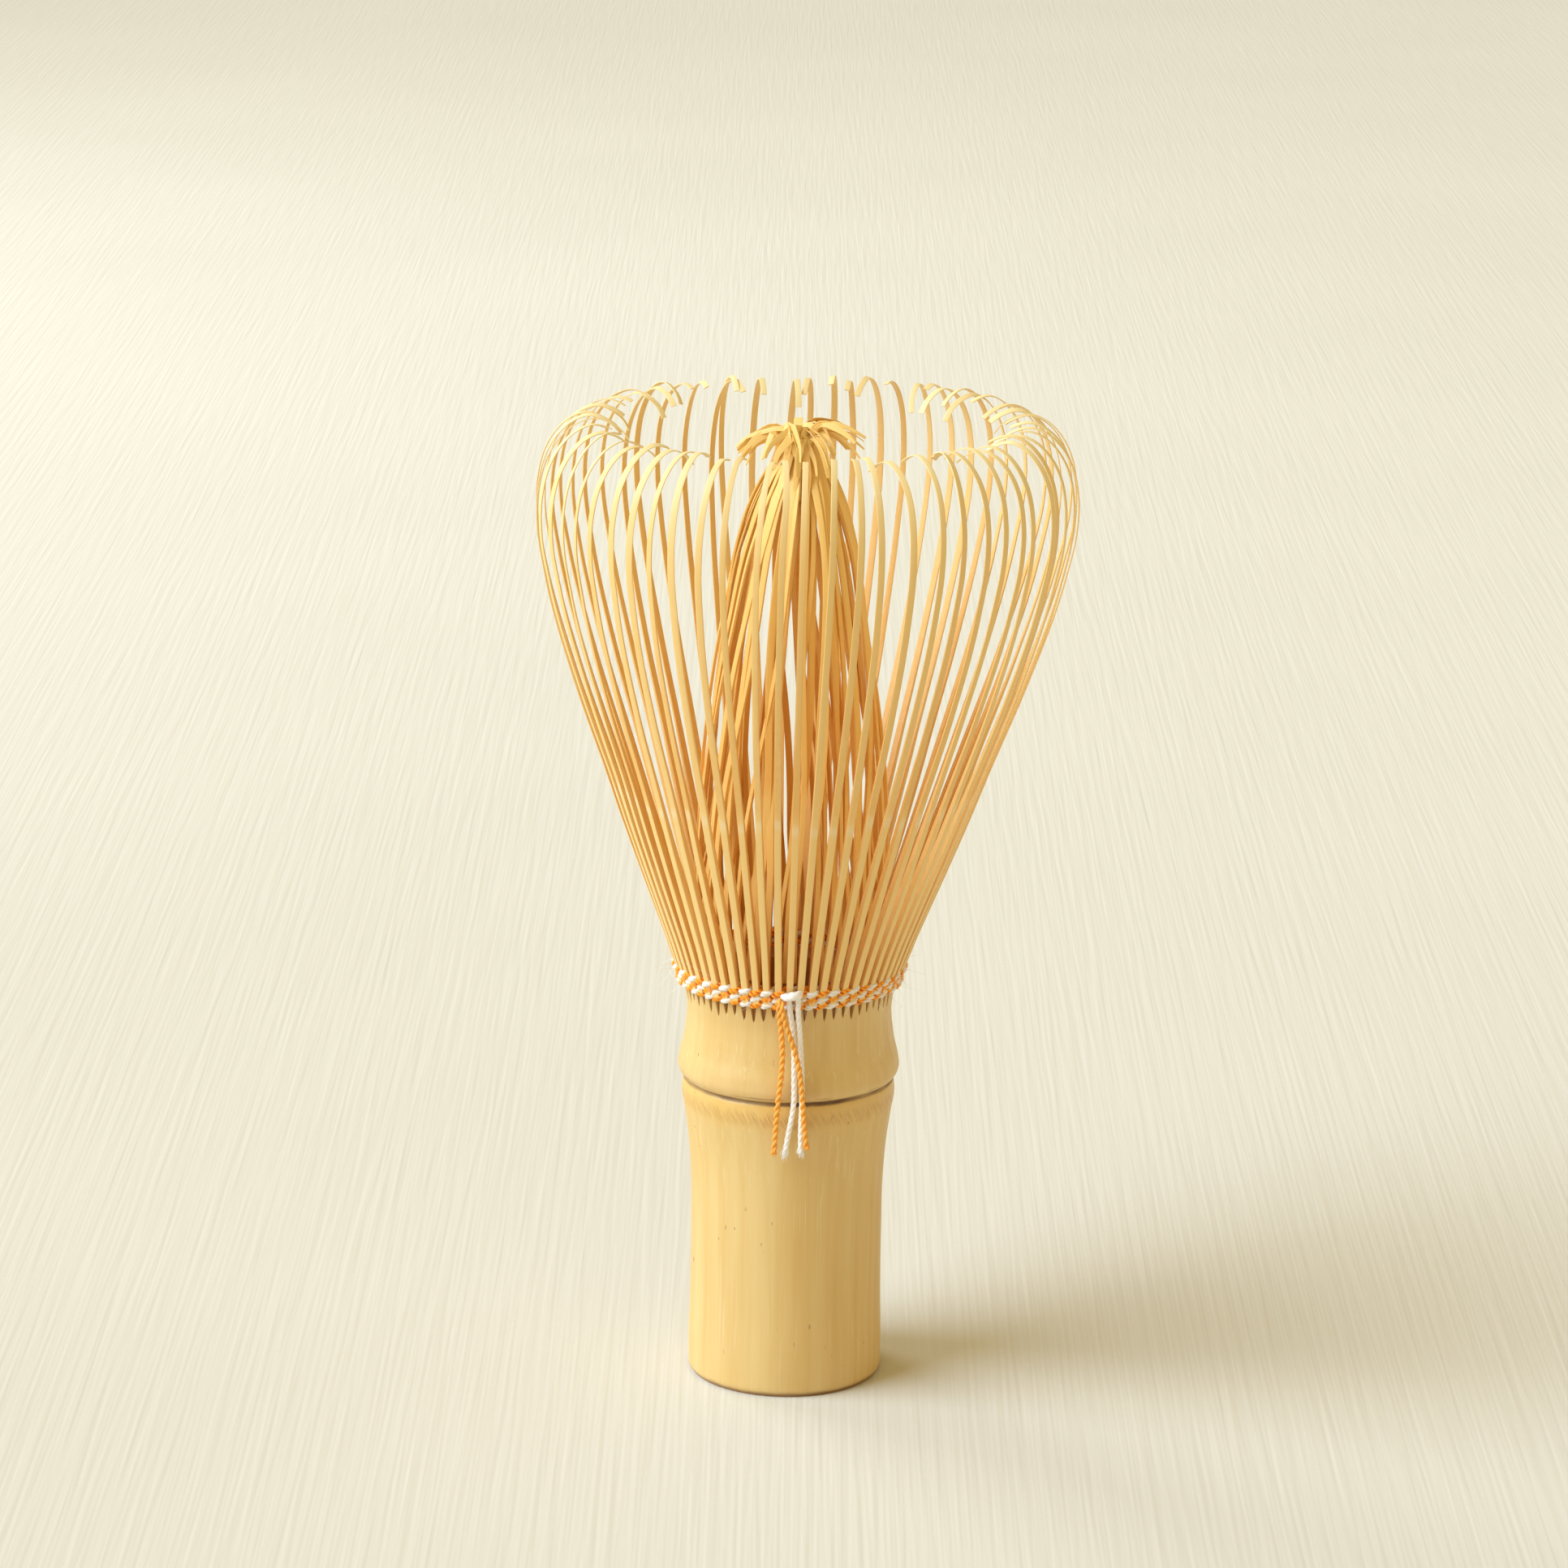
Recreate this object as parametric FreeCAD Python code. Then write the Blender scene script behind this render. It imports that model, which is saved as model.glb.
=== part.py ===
"""Bamboo tea whisk: a culm handle split into fine tines and bound with two twined threads.

Millimetres, +Z up. The origin is the centre of the handle's foot, and the front is the -Y side,
where the thread ends hang. The culm's axis is the Z axis, and the tine basket leans a little to +X.
"""
import FreeCAD, Part
import math
import os
import random

# Main sizes.
TOTAL_HEIGHT = 116.0
HANDLE_RADIUS = 11.35
FINGER_TOP_Z = 49.75
BASKET_RADIUS = 31.3
BASKET_LEAN = 1.4

# Handle outline: how far each place stands out from the handle, and how far below the fingers' tops.
FOOT_EDGE_ROUND = 0.5
STRAIGHT_DROP = 25.75
BULGE_SWELL = 1.2
BULGE_DROP = 15.15
NODE_LINE_SWELL = 0.95
NODE_LINE_DROP = 13.15
RIDGE_SWELL = 1.7
RIDGE_DROP = 11.65
WAIST_SWELL = 0.7
WAIST_DROP = 5.15
ROOT_SWELL = 1.3

# Inside of the handle: bore, septum of the node, and the cup above it.
BORE_WALL = 3.75
CUP_WALL = 1.75
SEPTUM_DROP = 16.75
SEPTUM_THICKNESS = 3.0

# Splitting: each outer tine stands between two inner ones, half a pitch away.
OUTER_TINES = 64
TINES_PER_GROUP = 4
FRONT_DEG = -90.0
OUTER_ROOT_THICKNESS = 0.8
OUTER_WIDTH_SHARE = 0.615
INNER_ROOT_THICKNESS = 0.75
INNER_WIDTH_SHARE = 0.48
SLIT_POINT_HEIGHT = 1.6
CUT_MARGIN = 1.0

# Outer tines above the binding, which flex at it.
ROOT_GAP = 0.25
OUTER_TIP_THICKNESS = 0.2
OUTER_TIP_WIDTH = 0.5
CROWN_HEIGHT = 10.5
TIP_REACH = 7.3
TIP_DROP = 0.7
BINDING_PASS = 1.887
TINE_SPREAD = 0.5
TINE_SWAY = 0.35
SHORTEST_TIP = 0.7
TAPER_POWER = 1.3
SMOOTH_SECTIONS = 13
# From the root to the widest place: shares of the way out and of the way up.
RISE_CURVE = [(0.016, 0.017), (0.043, 0.05), (0.145, 0.137), (0.515, 0.447), (0.732, 0.636), (0.94, 0.858)]
# Over the crown: mm in from the widest place, and share of the crown's height.
CROWN_CURVE = [(1.0, 0.59), (3.5, 0.92), (5.6, 1.0)]

# Inner tines: drawn to a neck and curled over at the top.
INNER_ROOT_GAP = 0.85
INNER_TIP_THICKNESS = 0.2
INNER_TIP_WIDTH = 0.34
INNER_TWIST_DEG = 24.0
NECK_RADIUS = 4.9
NECK_DROP = 8.5
CURL_REACH = 2.7
CURL_DROP = 2.4
CURL_SPREAD = 0.4
# From the root to the neck: shares of the way in and of the way up.
DRAW_CURVE = [(0.05, 0.15), (0.1, 0.34), (0.22, 0.52), (0.48, 0.78)]
# Past the neck: mm out from the neck and mm up from it, then mm in from the tip and down from the top.
NECK_BEND = (0.5, 3.4)
CURL_CURVE = [(1.2, 0.0), (0.2, 0.9), (0.0, 2.6)]

# Binding: three rows, each of an orange and a white strand twined round the outer tines.
ROWS = 3
STRAND_THICKNESS = 0.54
STRAND_HEIGHT = 0.7
ROW_GAP = 0.1
BINDING_RISE = 0.9
BINDING_FLOOR_GAP = 0.25
STRAND_CLEARANCE = 0.12
GROOVE_CLEARANCE = 0.155
CROSSING_SHARE = 0.47
CROSSING_RISE_SHARE = 0.27
STITCH_GAP = 0.04

# Thread ends, folded over at the knot.
TAIL_DIAMETER = 0.65
BEND_SHARE = 0.45

# Places that follow from the sizes above.
HANDLE_STRAIGHT_TOP = FINGER_TOP_Z - STRAIGHT_DROP
BULGE_RADIUS = HANDLE_RADIUS + BULGE_SWELL
BULGE_Z = FINGER_TOP_Z - BULGE_DROP
NODE_LINE_RADIUS = HANDLE_RADIUS + NODE_LINE_SWELL
NODE_LINE_Z = FINGER_TOP_Z - NODE_LINE_DROP
RIDGE_RADIUS = HANDLE_RADIUS + RIDGE_SWELL
RIDGE_Z = FINGER_TOP_Z - RIDGE_DROP
WAIST_RADIUS = HANDLE_RADIUS + WAIST_SWELL
WAIST_Z = FINGER_TOP_Z - WAIST_DROP
BORE_RADIUS = HANDLE_RADIUS - BORE_WALL
CUP_RADIUS = HANDLE_RADIUS - CUP_WALL
SEPTUM_BOTTOM_Z = FINGER_TOP_Z - SEPTUM_DROP
PITCH_DEG = 360.0 / OUTER_TINES
OUTER_ROOT_RADIUS = HANDLE_RADIUS + ROOT_SWELL
OUTER_ROOT_INSIDE = OUTER_ROOT_RADIUS - OUTER_ROOT_THICKNESS
OUTER_ROOT_PITCH = math.radians(PITCH_DEG) * (OUTER_ROOT_RADIUS + OUTER_ROOT_INSIDE) / 2
OUTER_ROOT_WIDTH = OUTER_WIDTH_SHARE * OUTER_ROOT_PITCH
GROOVE_WIDTH = STRAND_THICKNESS + 2 * GROOVE_CLEARANCE
GROOVE_RADIUS = OUTER_ROOT_INSIDE - GROOVE_WIDTH / 2
INNER_ROOT_RADIUS = OUTER_ROOT_INSIDE - GROOVE_WIDTH
INNER_ROOT_INSIDE = INNER_ROOT_RADIUS - INNER_ROOT_THICKNESS
INNER_ROOT_PITCH = math.radians(PITCH_DEG) * (INNER_ROOT_RADIUS + INNER_ROOT_INSIDE) / 2
INNER_ROOT_WIDTH = INNER_WIDTH_SHARE * INNER_ROOT_PITCH
TINE_START_Z = FINGER_TOP_Z + ROOT_GAP
INNER_START_Z = FINGER_TOP_Z + INNER_ROOT_GAP
BASKET_WIDEST_Z = TOTAL_HEIGHT - CROWN_HEIGHT
TIP_RADIUS = BASKET_RADIUS - TIP_REACH
NECK_Z = TOTAL_HEIGHT - NECK_DROP
CURL_RADIUS = NECK_RADIUS + CURL_REACH
CURL_TOP_Z = TOTAL_HEIGHT - CURL_DROP
ROW_PITCH = STRAND_HEIGHT + ROW_GAP
FIRST_ROW_Z = FINGER_TOP_Z + BINDING_RISE - STRAND_HEIGHT / 2 - (ROWS - 1) * ROW_PITCH
BASKET_SLOPE = (BASKET_RADIUS - OUTER_ROOT_RADIUS) / (BASKET_WIDEST_Z - TINE_START_Z)
TOP_ROW_CLEARANCE = BINDING_PASS * BASKET_SLOPE
TOP_ROW_FACE = OUTER_ROOT_RADIUS + TOP_ROW_CLEARANCE + STRAND_THICKNESS
CROSSING_WIDTH = CROSSING_SHARE * (OUTER_ROOT_PITCH - OUTER_ROOT_WIDTH)
CROSSING_RISE = CROSSING_RISE_SHARE * STRAND_HEIGHT
SLIT_FULL_Z = FIRST_ROW_Z - STRAND_HEIGHT / 2 - BINDING_FLOOR_GAP
SLIT_BOTTOM_Z = SLIT_FULL_Z - SLIT_POINT_HEIGHT

# Thread ends from tip to tip, front view: down-left end, knot, down-right end. Each point is
# across and out from the top row's face, both in thread diameters, and mm up from the fingers' tops.
ORANGE_ROUTE = [
    (-2.40, -0.42, -18.85),
    (-2.15, -0.22, -16.35),
    (-1.97, -0.07, -13.55),
    (-1.42, 0.06, -10.35),
    (-1.02, -0.04, -7.15),
    (-1.29, 0.06, -4.15),
    (-1.78, 0.30, -1.85),
    (-1.91, 0.58, 0.15),
    (-1.42, 2.33, 0.05),
    (-1.02, 1.99, -1.85),
    (-0.03, 1.47, -3.75),
    (1.29, 1.19, -6.35),
    (2.18, 1.13, -9.15),
    (2.58, 1.01, -12.15),
    (2.92, 0.79, -15.15),
    (3.42, 0.52, -17.85),
]
WHITE_ROUTE = [
    (-0.45, -0.56, -18.85),
    (0.18, -0.34, -15.95),
    (1.14, -0.16, -13.15),
    (1.17, -0.04, -9.75),
    (0.65, -0.13, -6.35),
    (-0.09, 0.02, -3.55),
    (-0.65, 0.42, -0.85),
    (-0.65, 0.70, 1.25),
    (1.20, 0.73, 1.35),
    (1.23, 0.49, -0.85),
    (1.69, 0.02, -3.55),
    (2.22, -0.16, -6.55),
    (2.46, -0.10, -9.75),
    (2.49, -0.19, -12.95),
    (2.31, -0.34, -15.85),
    (2.40, -0.56, -18.65),
]


def polar(radius, angle_deg, z):
    """Point at a radius and an angle about the culm's axis."""
    angle = math.radians(angle_deg)
    return FreeCAD.Vector(radius * math.cos(angle), radius * math.sin(angle), z)


def spline(points, start_tangent=None):
    """Smooth edge through (radius, z) points in the XZ plane."""
    curve = Part.BSplineCurve()
    vectors = [FreeCAD.Vector(radius, 0, z) for radius, z in points]
    if start_tangent is None:
        curve.interpolate(vectors)
    else:
        curve.interpolate(Points=vectors, InitialTangent=start_tangent,
                          FinalTangent=vectors[-1] - vectors[-2])
    return curve


def line(start, end):
    """Straight edge between two (radius, z) points in the XZ plane."""
    return Part.makeLine(FreeCAD.Vector(start[0], 0, start[1]), FreeCAD.Vector(end[0], 0, end[1]))


def culm_blank():
    """Solid of the culm's outside, from the foot to the tops of the fingers."""
    foot_in = (HANDLE_RADIUS - FOOT_EDGE_ROUND, 0)
    foot_out = (HANDLE_RADIUS, FOOT_EDGE_ROUND)
    middle = HANDLE_RADIUS - FOOT_EDGE_ROUND * (1 - math.sqrt(0.5))
    round_edge = Part.Arc(
        FreeCAD.Vector(foot_in[0], 0, foot_in[1]),
        FreeCAD.Vector(middle, 0, FOOT_EDGE_ROUND * (1 - math.sqrt(0.5))),
        FreeCAD.Vector(foot_out[0], 0, foot_out[1]),
    ).toShape()
    straight_top = (HANDLE_RADIUS, HANDLE_STRAIGHT_TOP)
    bulge = (BULGE_RADIUS, BULGE_Z)
    node_line = (NODE_LINE_RADIUS, NODE_LINE_Z)
    ridge = (RIDGE_RADIUS, RIDGE_Z)
    waist = (WAIST_RADIUS, WAIST_Z)
    top = (OUTER_ROOT_RADIUS, FINGER_TOP_Z)
    below_node = spline([straight_top, bulge, node_line], FreeCAD.Vector(0, 0, 1)).toShape()
    above_node = spline([node_line, ridge, waist, top]).toShape()
    edges = [
        line((0, 0), foot_in),
        round_edge,
        line(foot_out, straight_top),
        below_node,
        above_node,
        line(top, (0, FINGER_TOP_Z)),
        line((0, FINGER_TOP_Z), (0, 0)),
    ]
    face = Part.Face(Part.Wire(edges))
    return face.revolve(FreeCAD.Vector(0, 0, 0), FreeCAD.Vector(0, 0, 1), 360)


def slit(angle_deg, width, inside, outside):
    """V-bottomed radial cut between two fingers."""
    top = FINGER_TOP_Z + CUT_MARGIN
    profile = [
        (-width / 2, top),
        (-width / 2, SLIT_FULL_Z),
        (0, SLIT_BOTTOM_Z),
        (width / 2, SLIT_FULL_Z),
        (width / 2, top),
    ]
    points = [FreeCAD.Vector(inside, side, z) for side, z in profile]
    face = Part.Face(Part.makePolygon(points + [points[0]]))
    prism = face.extrude(FreeCAD.Vector(outside - inside, 0, 0))
    prism.rotate(FreeCAD.Vector(0, 0, 0), FreeCAD.Vector(0, 0, 1), angle_deg)
    return prism


def handle():
    """Culm with its bore, septum, cup above the septum, and the split fingers."""
    blank = culm_blank()
    bore = Part.makeCylinder(BORE_RADIUS, SEPTUM_BOTTOM_Z)
    cup_floor = SEPTUM_BOTTOM_Z + SEPTUM_THICKNESS
    cup_point = FreeCAD.Vector(0, 0, cup_floor)
    cup = Part.makeCylinder(CUP_RADIUS, FINGER_TOP_Z, cup_point)
    groove_point = FreeCAD.Vector(0, 0, SLIT_FULL_Z)
    groove = Part.makeCylinder(OUTER_ROOT_INSIDE, FINGER_TOP_Z, groove_point)
    groove_core = Part.makeCylinder(INNER_ROOT_RADIUS, FINGER_TOP_Z, groove_point)
    tools = [bore, cup, groove.cut(groove_core)]
    relief = Part.makeCylinder(INNER_ROOT_INSIDE, FINGER_TOP_Z, groove_point)
    tools.append(relief)
    outer_slit = OUTER_ROOT_PITCH - OUTER_ROOT_WIDTH
    inner_slit = INNER_ROOT_PITCH - INNER_ROOT_WIDTH
    outside = OUTER_ROOT_RADIUS + CUT_MARGIN
    for index in range(OUTER_TINES):
        angle = FRONT_DEG + index * PITCH_DEG
        tools.append(slit(angle + PITCH_DEG / 2, outer_slit, GROOVE_RADIUS, outside))
        tools.append(slit(angle, inner_slit, CUP_RADIUS - CUT_MARGIN, GROOVE_RADIUS))
    return blank.cut(tools)


def lean(point):
    """Shift a point above the binding with the basket's lean to +X."""
    share = (point.z - TINE_START_Z) / (TOTAL_HEIGHT - TINE_START_Z)
    return FreeCAD.Vector(point.x + BASKET_LEAN * max(share, 0), point.y, point.z)


def tine(profile, angle_deg, thickness, width, sideways=0, twist_deg=0, trim=1.0, faceted=False):
    """Loft one tine along a (radius, z) profile of its outer face.

    thickness and width are (root, tip) pairs; sideways and twist_deg grow along the tine;
    trim keeps that share of its last stretch. A faceted tine has its sections at the profile's
    points, joined by facets; a smooth one has them evenly spaced.
    """
    curve = spline(profile)
    stations = curve.discretize(SMOOTH_SECTIONS)
    if faceted:
        stations = [FreeCAD.Vector(radius, 0, z) for radius, z in profile]
    stations[-1] = stations[-2] + (stations[-1] - stations[-2]) * trim
    total = curve.length()
    wires = []
    for station in stations:
        parameter = curve.parameter(station)
        share = curve.length(curve.FirstParameter, parameter) / total if wires else 0.0
        tangent = curve.tangent(parameter)[0]
        inward = FreeCAD.Vector(-tangent.z, 0, tangent.x) if wires else FreeCAD.Vector(-1, 0, 0)
        taper = (1 - share) ** TAPER_POWER
        deep = thickness[1] + (thickness[0] - thickness[1]) * taper
        half = (width[1] + (width[0] - width[1]) * (1 - share)) / 2
        shift = sideways * share * share
        corners = []
        for depth, side in ((0, -half), (0, half), (deep, half), (deep, -half)):
            corner = station + inward * depth
            corners.append(FreeCAD.Vector(corner.x, side + shift, corner.z))
        wires.append(turned(corners, angle_deg + twist_deg * share))
    return Part.makeLoft(wires, True, faceted)


def turned(corners, angle_deg):
    """Closed four-sided wire, turned about the culm's axis and leant with the basket."""
    angle = math.radians(angle_deg)
    points = []
    for corner in corners:
        x = corner.x * math.cos(angle) - corner.y * math.sin(angle)
        y = corner.x * math.sin(angle) + corner.y * math.cos(angle)
        points.append(lean(FreeCAD.Vector(x, y, corner.z)))
    return Part.makePolygon(points + [points[0]])


def outer_profile(spread):
    """Outer face of an outer tine: out of the binding, up the basket and hooked in at the tip."""
    rise = BASKET_WIDEST_Z - TINE_START_Z
    crown = TOTAL_HEIGHT - BASKET_WIDEST_Z
    widest = BASKET_RADIUS + spread
    points = [(OUTER_ROOT_RADIUS, TINE_START_Z)]
    for out, up in RISE_CURVE:
        points.append((OUTER_ROOT_RADIUS + out * (widest - OUTER_ROOT_RADIUS), TINE_START_Z + up * rise))
    points.append((widest, BASKET_WIDEST_Z))
    for inward, up in CROWN_CURVE:
        points.append((widest - inward, BASKET_WIDEST_Z + up * crown))
    points.append((TIP_RADIUS + spread, TOTAL_HEIGHT - TIP_DROP))
    return points


def inner_profile(spread):
    """Outer face of an inner tine: up to the neck, then out and over in a small curl."""
    rise = NECK_Z - INNER_START_Z
    draw = INNER_ROOT_RADIUS - NECK_RADIUS
    points = [(INNER_ROOT_RADIUS, INNER_START_Z)]
    for inward, up in DRAW_CURVE:
        points.append((INNER_ROOT_RADIUS - inward * draw, INNER_START_Z + up * rise))
    points.append((NECK_RADIUS, NECK_Z))
    points.append((NECK_RADIUS + NECK_BEND[0], NECK_Z + NECK_BEND[1]))
    for inward, down in CURL_CURVE:
        points.append((CURL_RADIUS + spread - inward, CURL_TOP_Z - down))
    return points


def outer_group(first):
    """The outer tines of one sector, which flex together."""
    tines = []
    for index in range(first, first + TINES_PER_GROUP):
        chance = random.Random(index)
        tines.append(tine(
            outer_profile(chance.uniform(-TINE_SPREAD, 0.0)),
            FRONT_DEG + index * PITCH_DEG,
            (OUTER_ROOT_THICKNESS, OUTER_TIP_THICKNESS),
            (OUTER_ROOT_WIDTH, OUTER_TIP_WIDTH),
            sideways=chance.uniform(-TINE_SWAY, TINE_SWAY),
            trim=chance.uniform(SHORTEST_TIP, 1.0),
        ))
    return tines


def inner_group(first):
    """The inner tines of one sector."""
    tines = []
    for index in range(first, first + TINES_PER_GROUP):
        chance = random.Random(OUTER_TINES + index)
        tines.append(tine(
            inner_profile(chance.uniform(-CURL_SPREAD, 0.0)),
            FRONT_DEG + (index + 0.5) * PITCH_DEG,
            (INNER_ROOT_THICKNESS, INNER_TIP_THICKNESS),
            (INNER_ROOT_WIDTH, INNER_TIP_WIDTH),
            twist_deg=INNER_TWIST_DEG,
            trim=chance.uniform(SHORTEST_TIP, 1.0),
            faceted=True,
        ))
    return tines


def strand_piece(radius, z, middle_deg, span_deg):
    """Flat length of thread, following the ring at a radius."""
    inside = radius - STRAND_THICKNESS / 2
    outside = radius + STRAND_THICKNESS / 2
    low = z - STRAND_HEIGHT / 2
    high = z + STRAND_HEIGHT / 2
    corners = [
        FreeCAD.Vector(inside, 0, low),
        FreeCAD.Vector(outside, 0, low),
        FreeCAD.Vector(outside, 0, high),
        FreeCAD.Vector(inside, 0, high),
    ]
    face = Part.Face(Part.makePolygon(corners + [corners[0]]))
    axis = FreeCAD.Vector(0, 0, 1)
    piece = face.revolve(FreeCAD.Vector(0, 0, 0), axis, span_deg)
    piece.rotate(FreeCAD.Vector(0, 0, 0), axis, middle_deg - span_deg / 2)
    return piece


def crossing_piece(start, end):
    """Square length of thread between two points, through the gap between two tines."""
    run = end - start
    across = FreeCAD.Vector(-run.y, run.x, 0)
    across.normalize()
    across = across * (CROSSING_WIDTH / 2)
    rise = FreeCAD.Vector(0, 0, CROSSING_WIDTH / 2)
    corners = [start + across + rise, start - across + rise, start - across - rise, start + across - rise]
    face = Part.Face(Part.makePolygon(corners + [corners[0]]))
    return face.extrude(run)


def front_radius(row):
    """Radius of a row's front strands, outside the fingers or the flexing tines."""
    clearance = TOP_ROW_CLEARANCE if row == ROWS - 1 else STRAND_CLEARANCE
    return OUTER_ROOT_RADIUS + clearance + STRAND_THICKNESS / 2


def thread_row(row, parity):
    """One colour's strand in one row: over a tine, through the gap, behind the next tine."""
    z = FIRST_ROW_Z + row * ROW_PITCH
    front = front_radius(row)
    gap_deg = math.degrees(STITCH_GAP / front)
    span = PITCH_DEG - gap_deg
    side_deg = math.degrees((CROSSING_WIDTH / 2 + STITCH_GAP) / GROOVE_RADIUS)
    pieces = []
    for index in range(OUTER_TINES):
        angle = FRONT_DEG + index * PITCH_DEG
        in_front = (index + row + parity) % 2 == 0
        radius = front if in_front else GROOVE_RADIUS
        pieces.append(strand_piece(radius, z, angle, span))
        side = -side_deg if in_front else side_deg
        rise = CROSSING_RISE if in_front else -CROSSING_RISE
        crossing = angle + PITCH_DEG / 2
        outside = polar(front, crossing + side, z + rise)
        inside = polar(GROOVE_RADIUS, crossing - side, z + rise)
        pieces.append(crossing_piece(outside, inside))
    return pieces[0].multiFuse(pieces[1:])


def route_point(across, out, up):
    """Point of a thread end's route, in millimetres."""
    front = TOP_ROW_FACE + out * TAIL_DIAMETER
    return FreeCAD.Vector(across * TAIL_DIAMETER, -front, FINGER_TOP_Z + up)


def cord_path(points):
    """Straight runs joined by tangent arcs as large as the runs allow."""
    corners = [route_point(*point) for point in points]
    edges = []
    radii = []
    start = corners[0]
    for before, corner, after in zip(corners, corners[1:], corners[2:]):
        back = before - corner
        ahead = after - corner
        reach = BEND_SHARE * min(back.Length, ahead.Length)
        half_turn = (math.pi - back.getAngle(ahead)) / 2
        radius = reach / math.tan(half_turn)
        radii.append(radius)
        back.normalize()
        ahead.normalize()
        first = corner + back * reach
        last = corner + ahead * reach
        bisector = back + ahead
        bisector.normalize()
        centre = corner + bisector * (radius / math.cos(half_turn))
        middle = centre - bisector * radius
        edges.append(Part.LineSegment(start, first).toShape())
        edges.append(Part.Arc(first, middle, last).toShape())
        start = last
    edges.append(Part.LineSegment(start, corners[-1]).toShape())
    print("tightest bend %.2f mm in a %.2f mm thread" % (min(radii), TAIL_DIAMETER))
    return Part.Wire(edges)


def thread_ends(points):
    """Tube along the two free ends of a thread and the fold that knots them."""
    path = cord_path(points)
    start = route_point(*points[0])
    direction = route_point(*points[1]) - start
    circle = Part.makeCircle(TAIL_DIAMETER / 2, start, direction)
    tube = path.makePipeShell([Part.Wire([circle])], True, False)
    solid = Part.Solid(tube)
    expected = math.pi * TAIL_DIAMETER ** 2 / 4 * path.Length
    print("thread ends %.1f mm long, volume %.3f of its section times length"
          % (path.Length, solid.Volume / expected))
    return solid


def save(node, solids):
    """Write one node's solids to its STEP file."""
    for solid in solids:
        if not solid.isValid() or solid.Volume <= 0:
            raise ValueError("bad solid in " + node)
    shape = solids[0] if len(solids) == 1 else Part.makeCompound(solids)
    shape.exportStep("parts/" + node + ".step")


def main():
    """Build and write every node."""
    os.makedirs("parts", exist_ok=True)
    save("handle", handle().Solids)
    for first in range(0, OUTER_TINES, TINES_PER_GROUP):
        number = first // TINES_PER_GROUP + 1
        save("outer_tines_%02d" % number, outer_group(first))
        save("inner_tines_%02d" % number, inner_group(first))
    for row in range(ROWS):
        save("white_thread_row_%d" % (row + 1), thread_row(row, 0).Solids)
        save("orange_thread_row_%d" % (row + 1), thread_row(row, 1).Solids)
    save("orange_thread_ends", [thread_ends(ORANGE_ROUTE)])
    save("white_thread_ends", [thread_ends(WHITE_ROUTE)])


main()
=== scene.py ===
"""Looks of the bamboo tea whisk: culm, split tines, twined threads and the studio round them.

Shapes are worked out in millimetres and become metres when a mesh is made. The frame's origin is the
middle of the handle's foot, +Z is up and the front, where the thread ends hang, is the -Y side.
"""
from __future__ import annotations

import logging
import math
import random
from abc import ABC, abstractmethod
from dataclasses import dataclass, field
from enum import Enum
from typing import Sequence

import bpy
import numpy as np
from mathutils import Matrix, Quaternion, Vector

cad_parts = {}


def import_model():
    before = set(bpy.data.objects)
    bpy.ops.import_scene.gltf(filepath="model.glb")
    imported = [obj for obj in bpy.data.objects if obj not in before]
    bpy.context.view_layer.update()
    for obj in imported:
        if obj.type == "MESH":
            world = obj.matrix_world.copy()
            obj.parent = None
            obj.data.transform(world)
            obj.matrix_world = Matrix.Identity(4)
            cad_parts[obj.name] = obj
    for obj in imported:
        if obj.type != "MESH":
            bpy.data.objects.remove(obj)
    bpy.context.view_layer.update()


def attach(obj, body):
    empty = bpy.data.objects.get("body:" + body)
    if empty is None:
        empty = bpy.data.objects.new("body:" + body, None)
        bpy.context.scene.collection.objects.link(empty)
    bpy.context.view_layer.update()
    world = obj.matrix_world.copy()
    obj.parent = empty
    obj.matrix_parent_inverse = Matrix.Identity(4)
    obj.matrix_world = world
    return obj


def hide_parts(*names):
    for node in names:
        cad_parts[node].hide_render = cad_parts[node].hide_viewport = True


LOG = logging.getLogger("tea_whisk")
MM = 0.001
FINE_STEPS = 24

Colour = tuple[float, float, float]
Place = tuple[float, float, float]
Outline = Sequence[tuple[float, float]]
Route = Sequence[Place]
Array = np.ndarray
Piece = bpy.types.Object
Material = bpy.types.Material
Socket = bpy.types.NodeSocket
Inputs = dict[int | str, object]
Number = "Value | float"


# ---- shader maths


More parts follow.
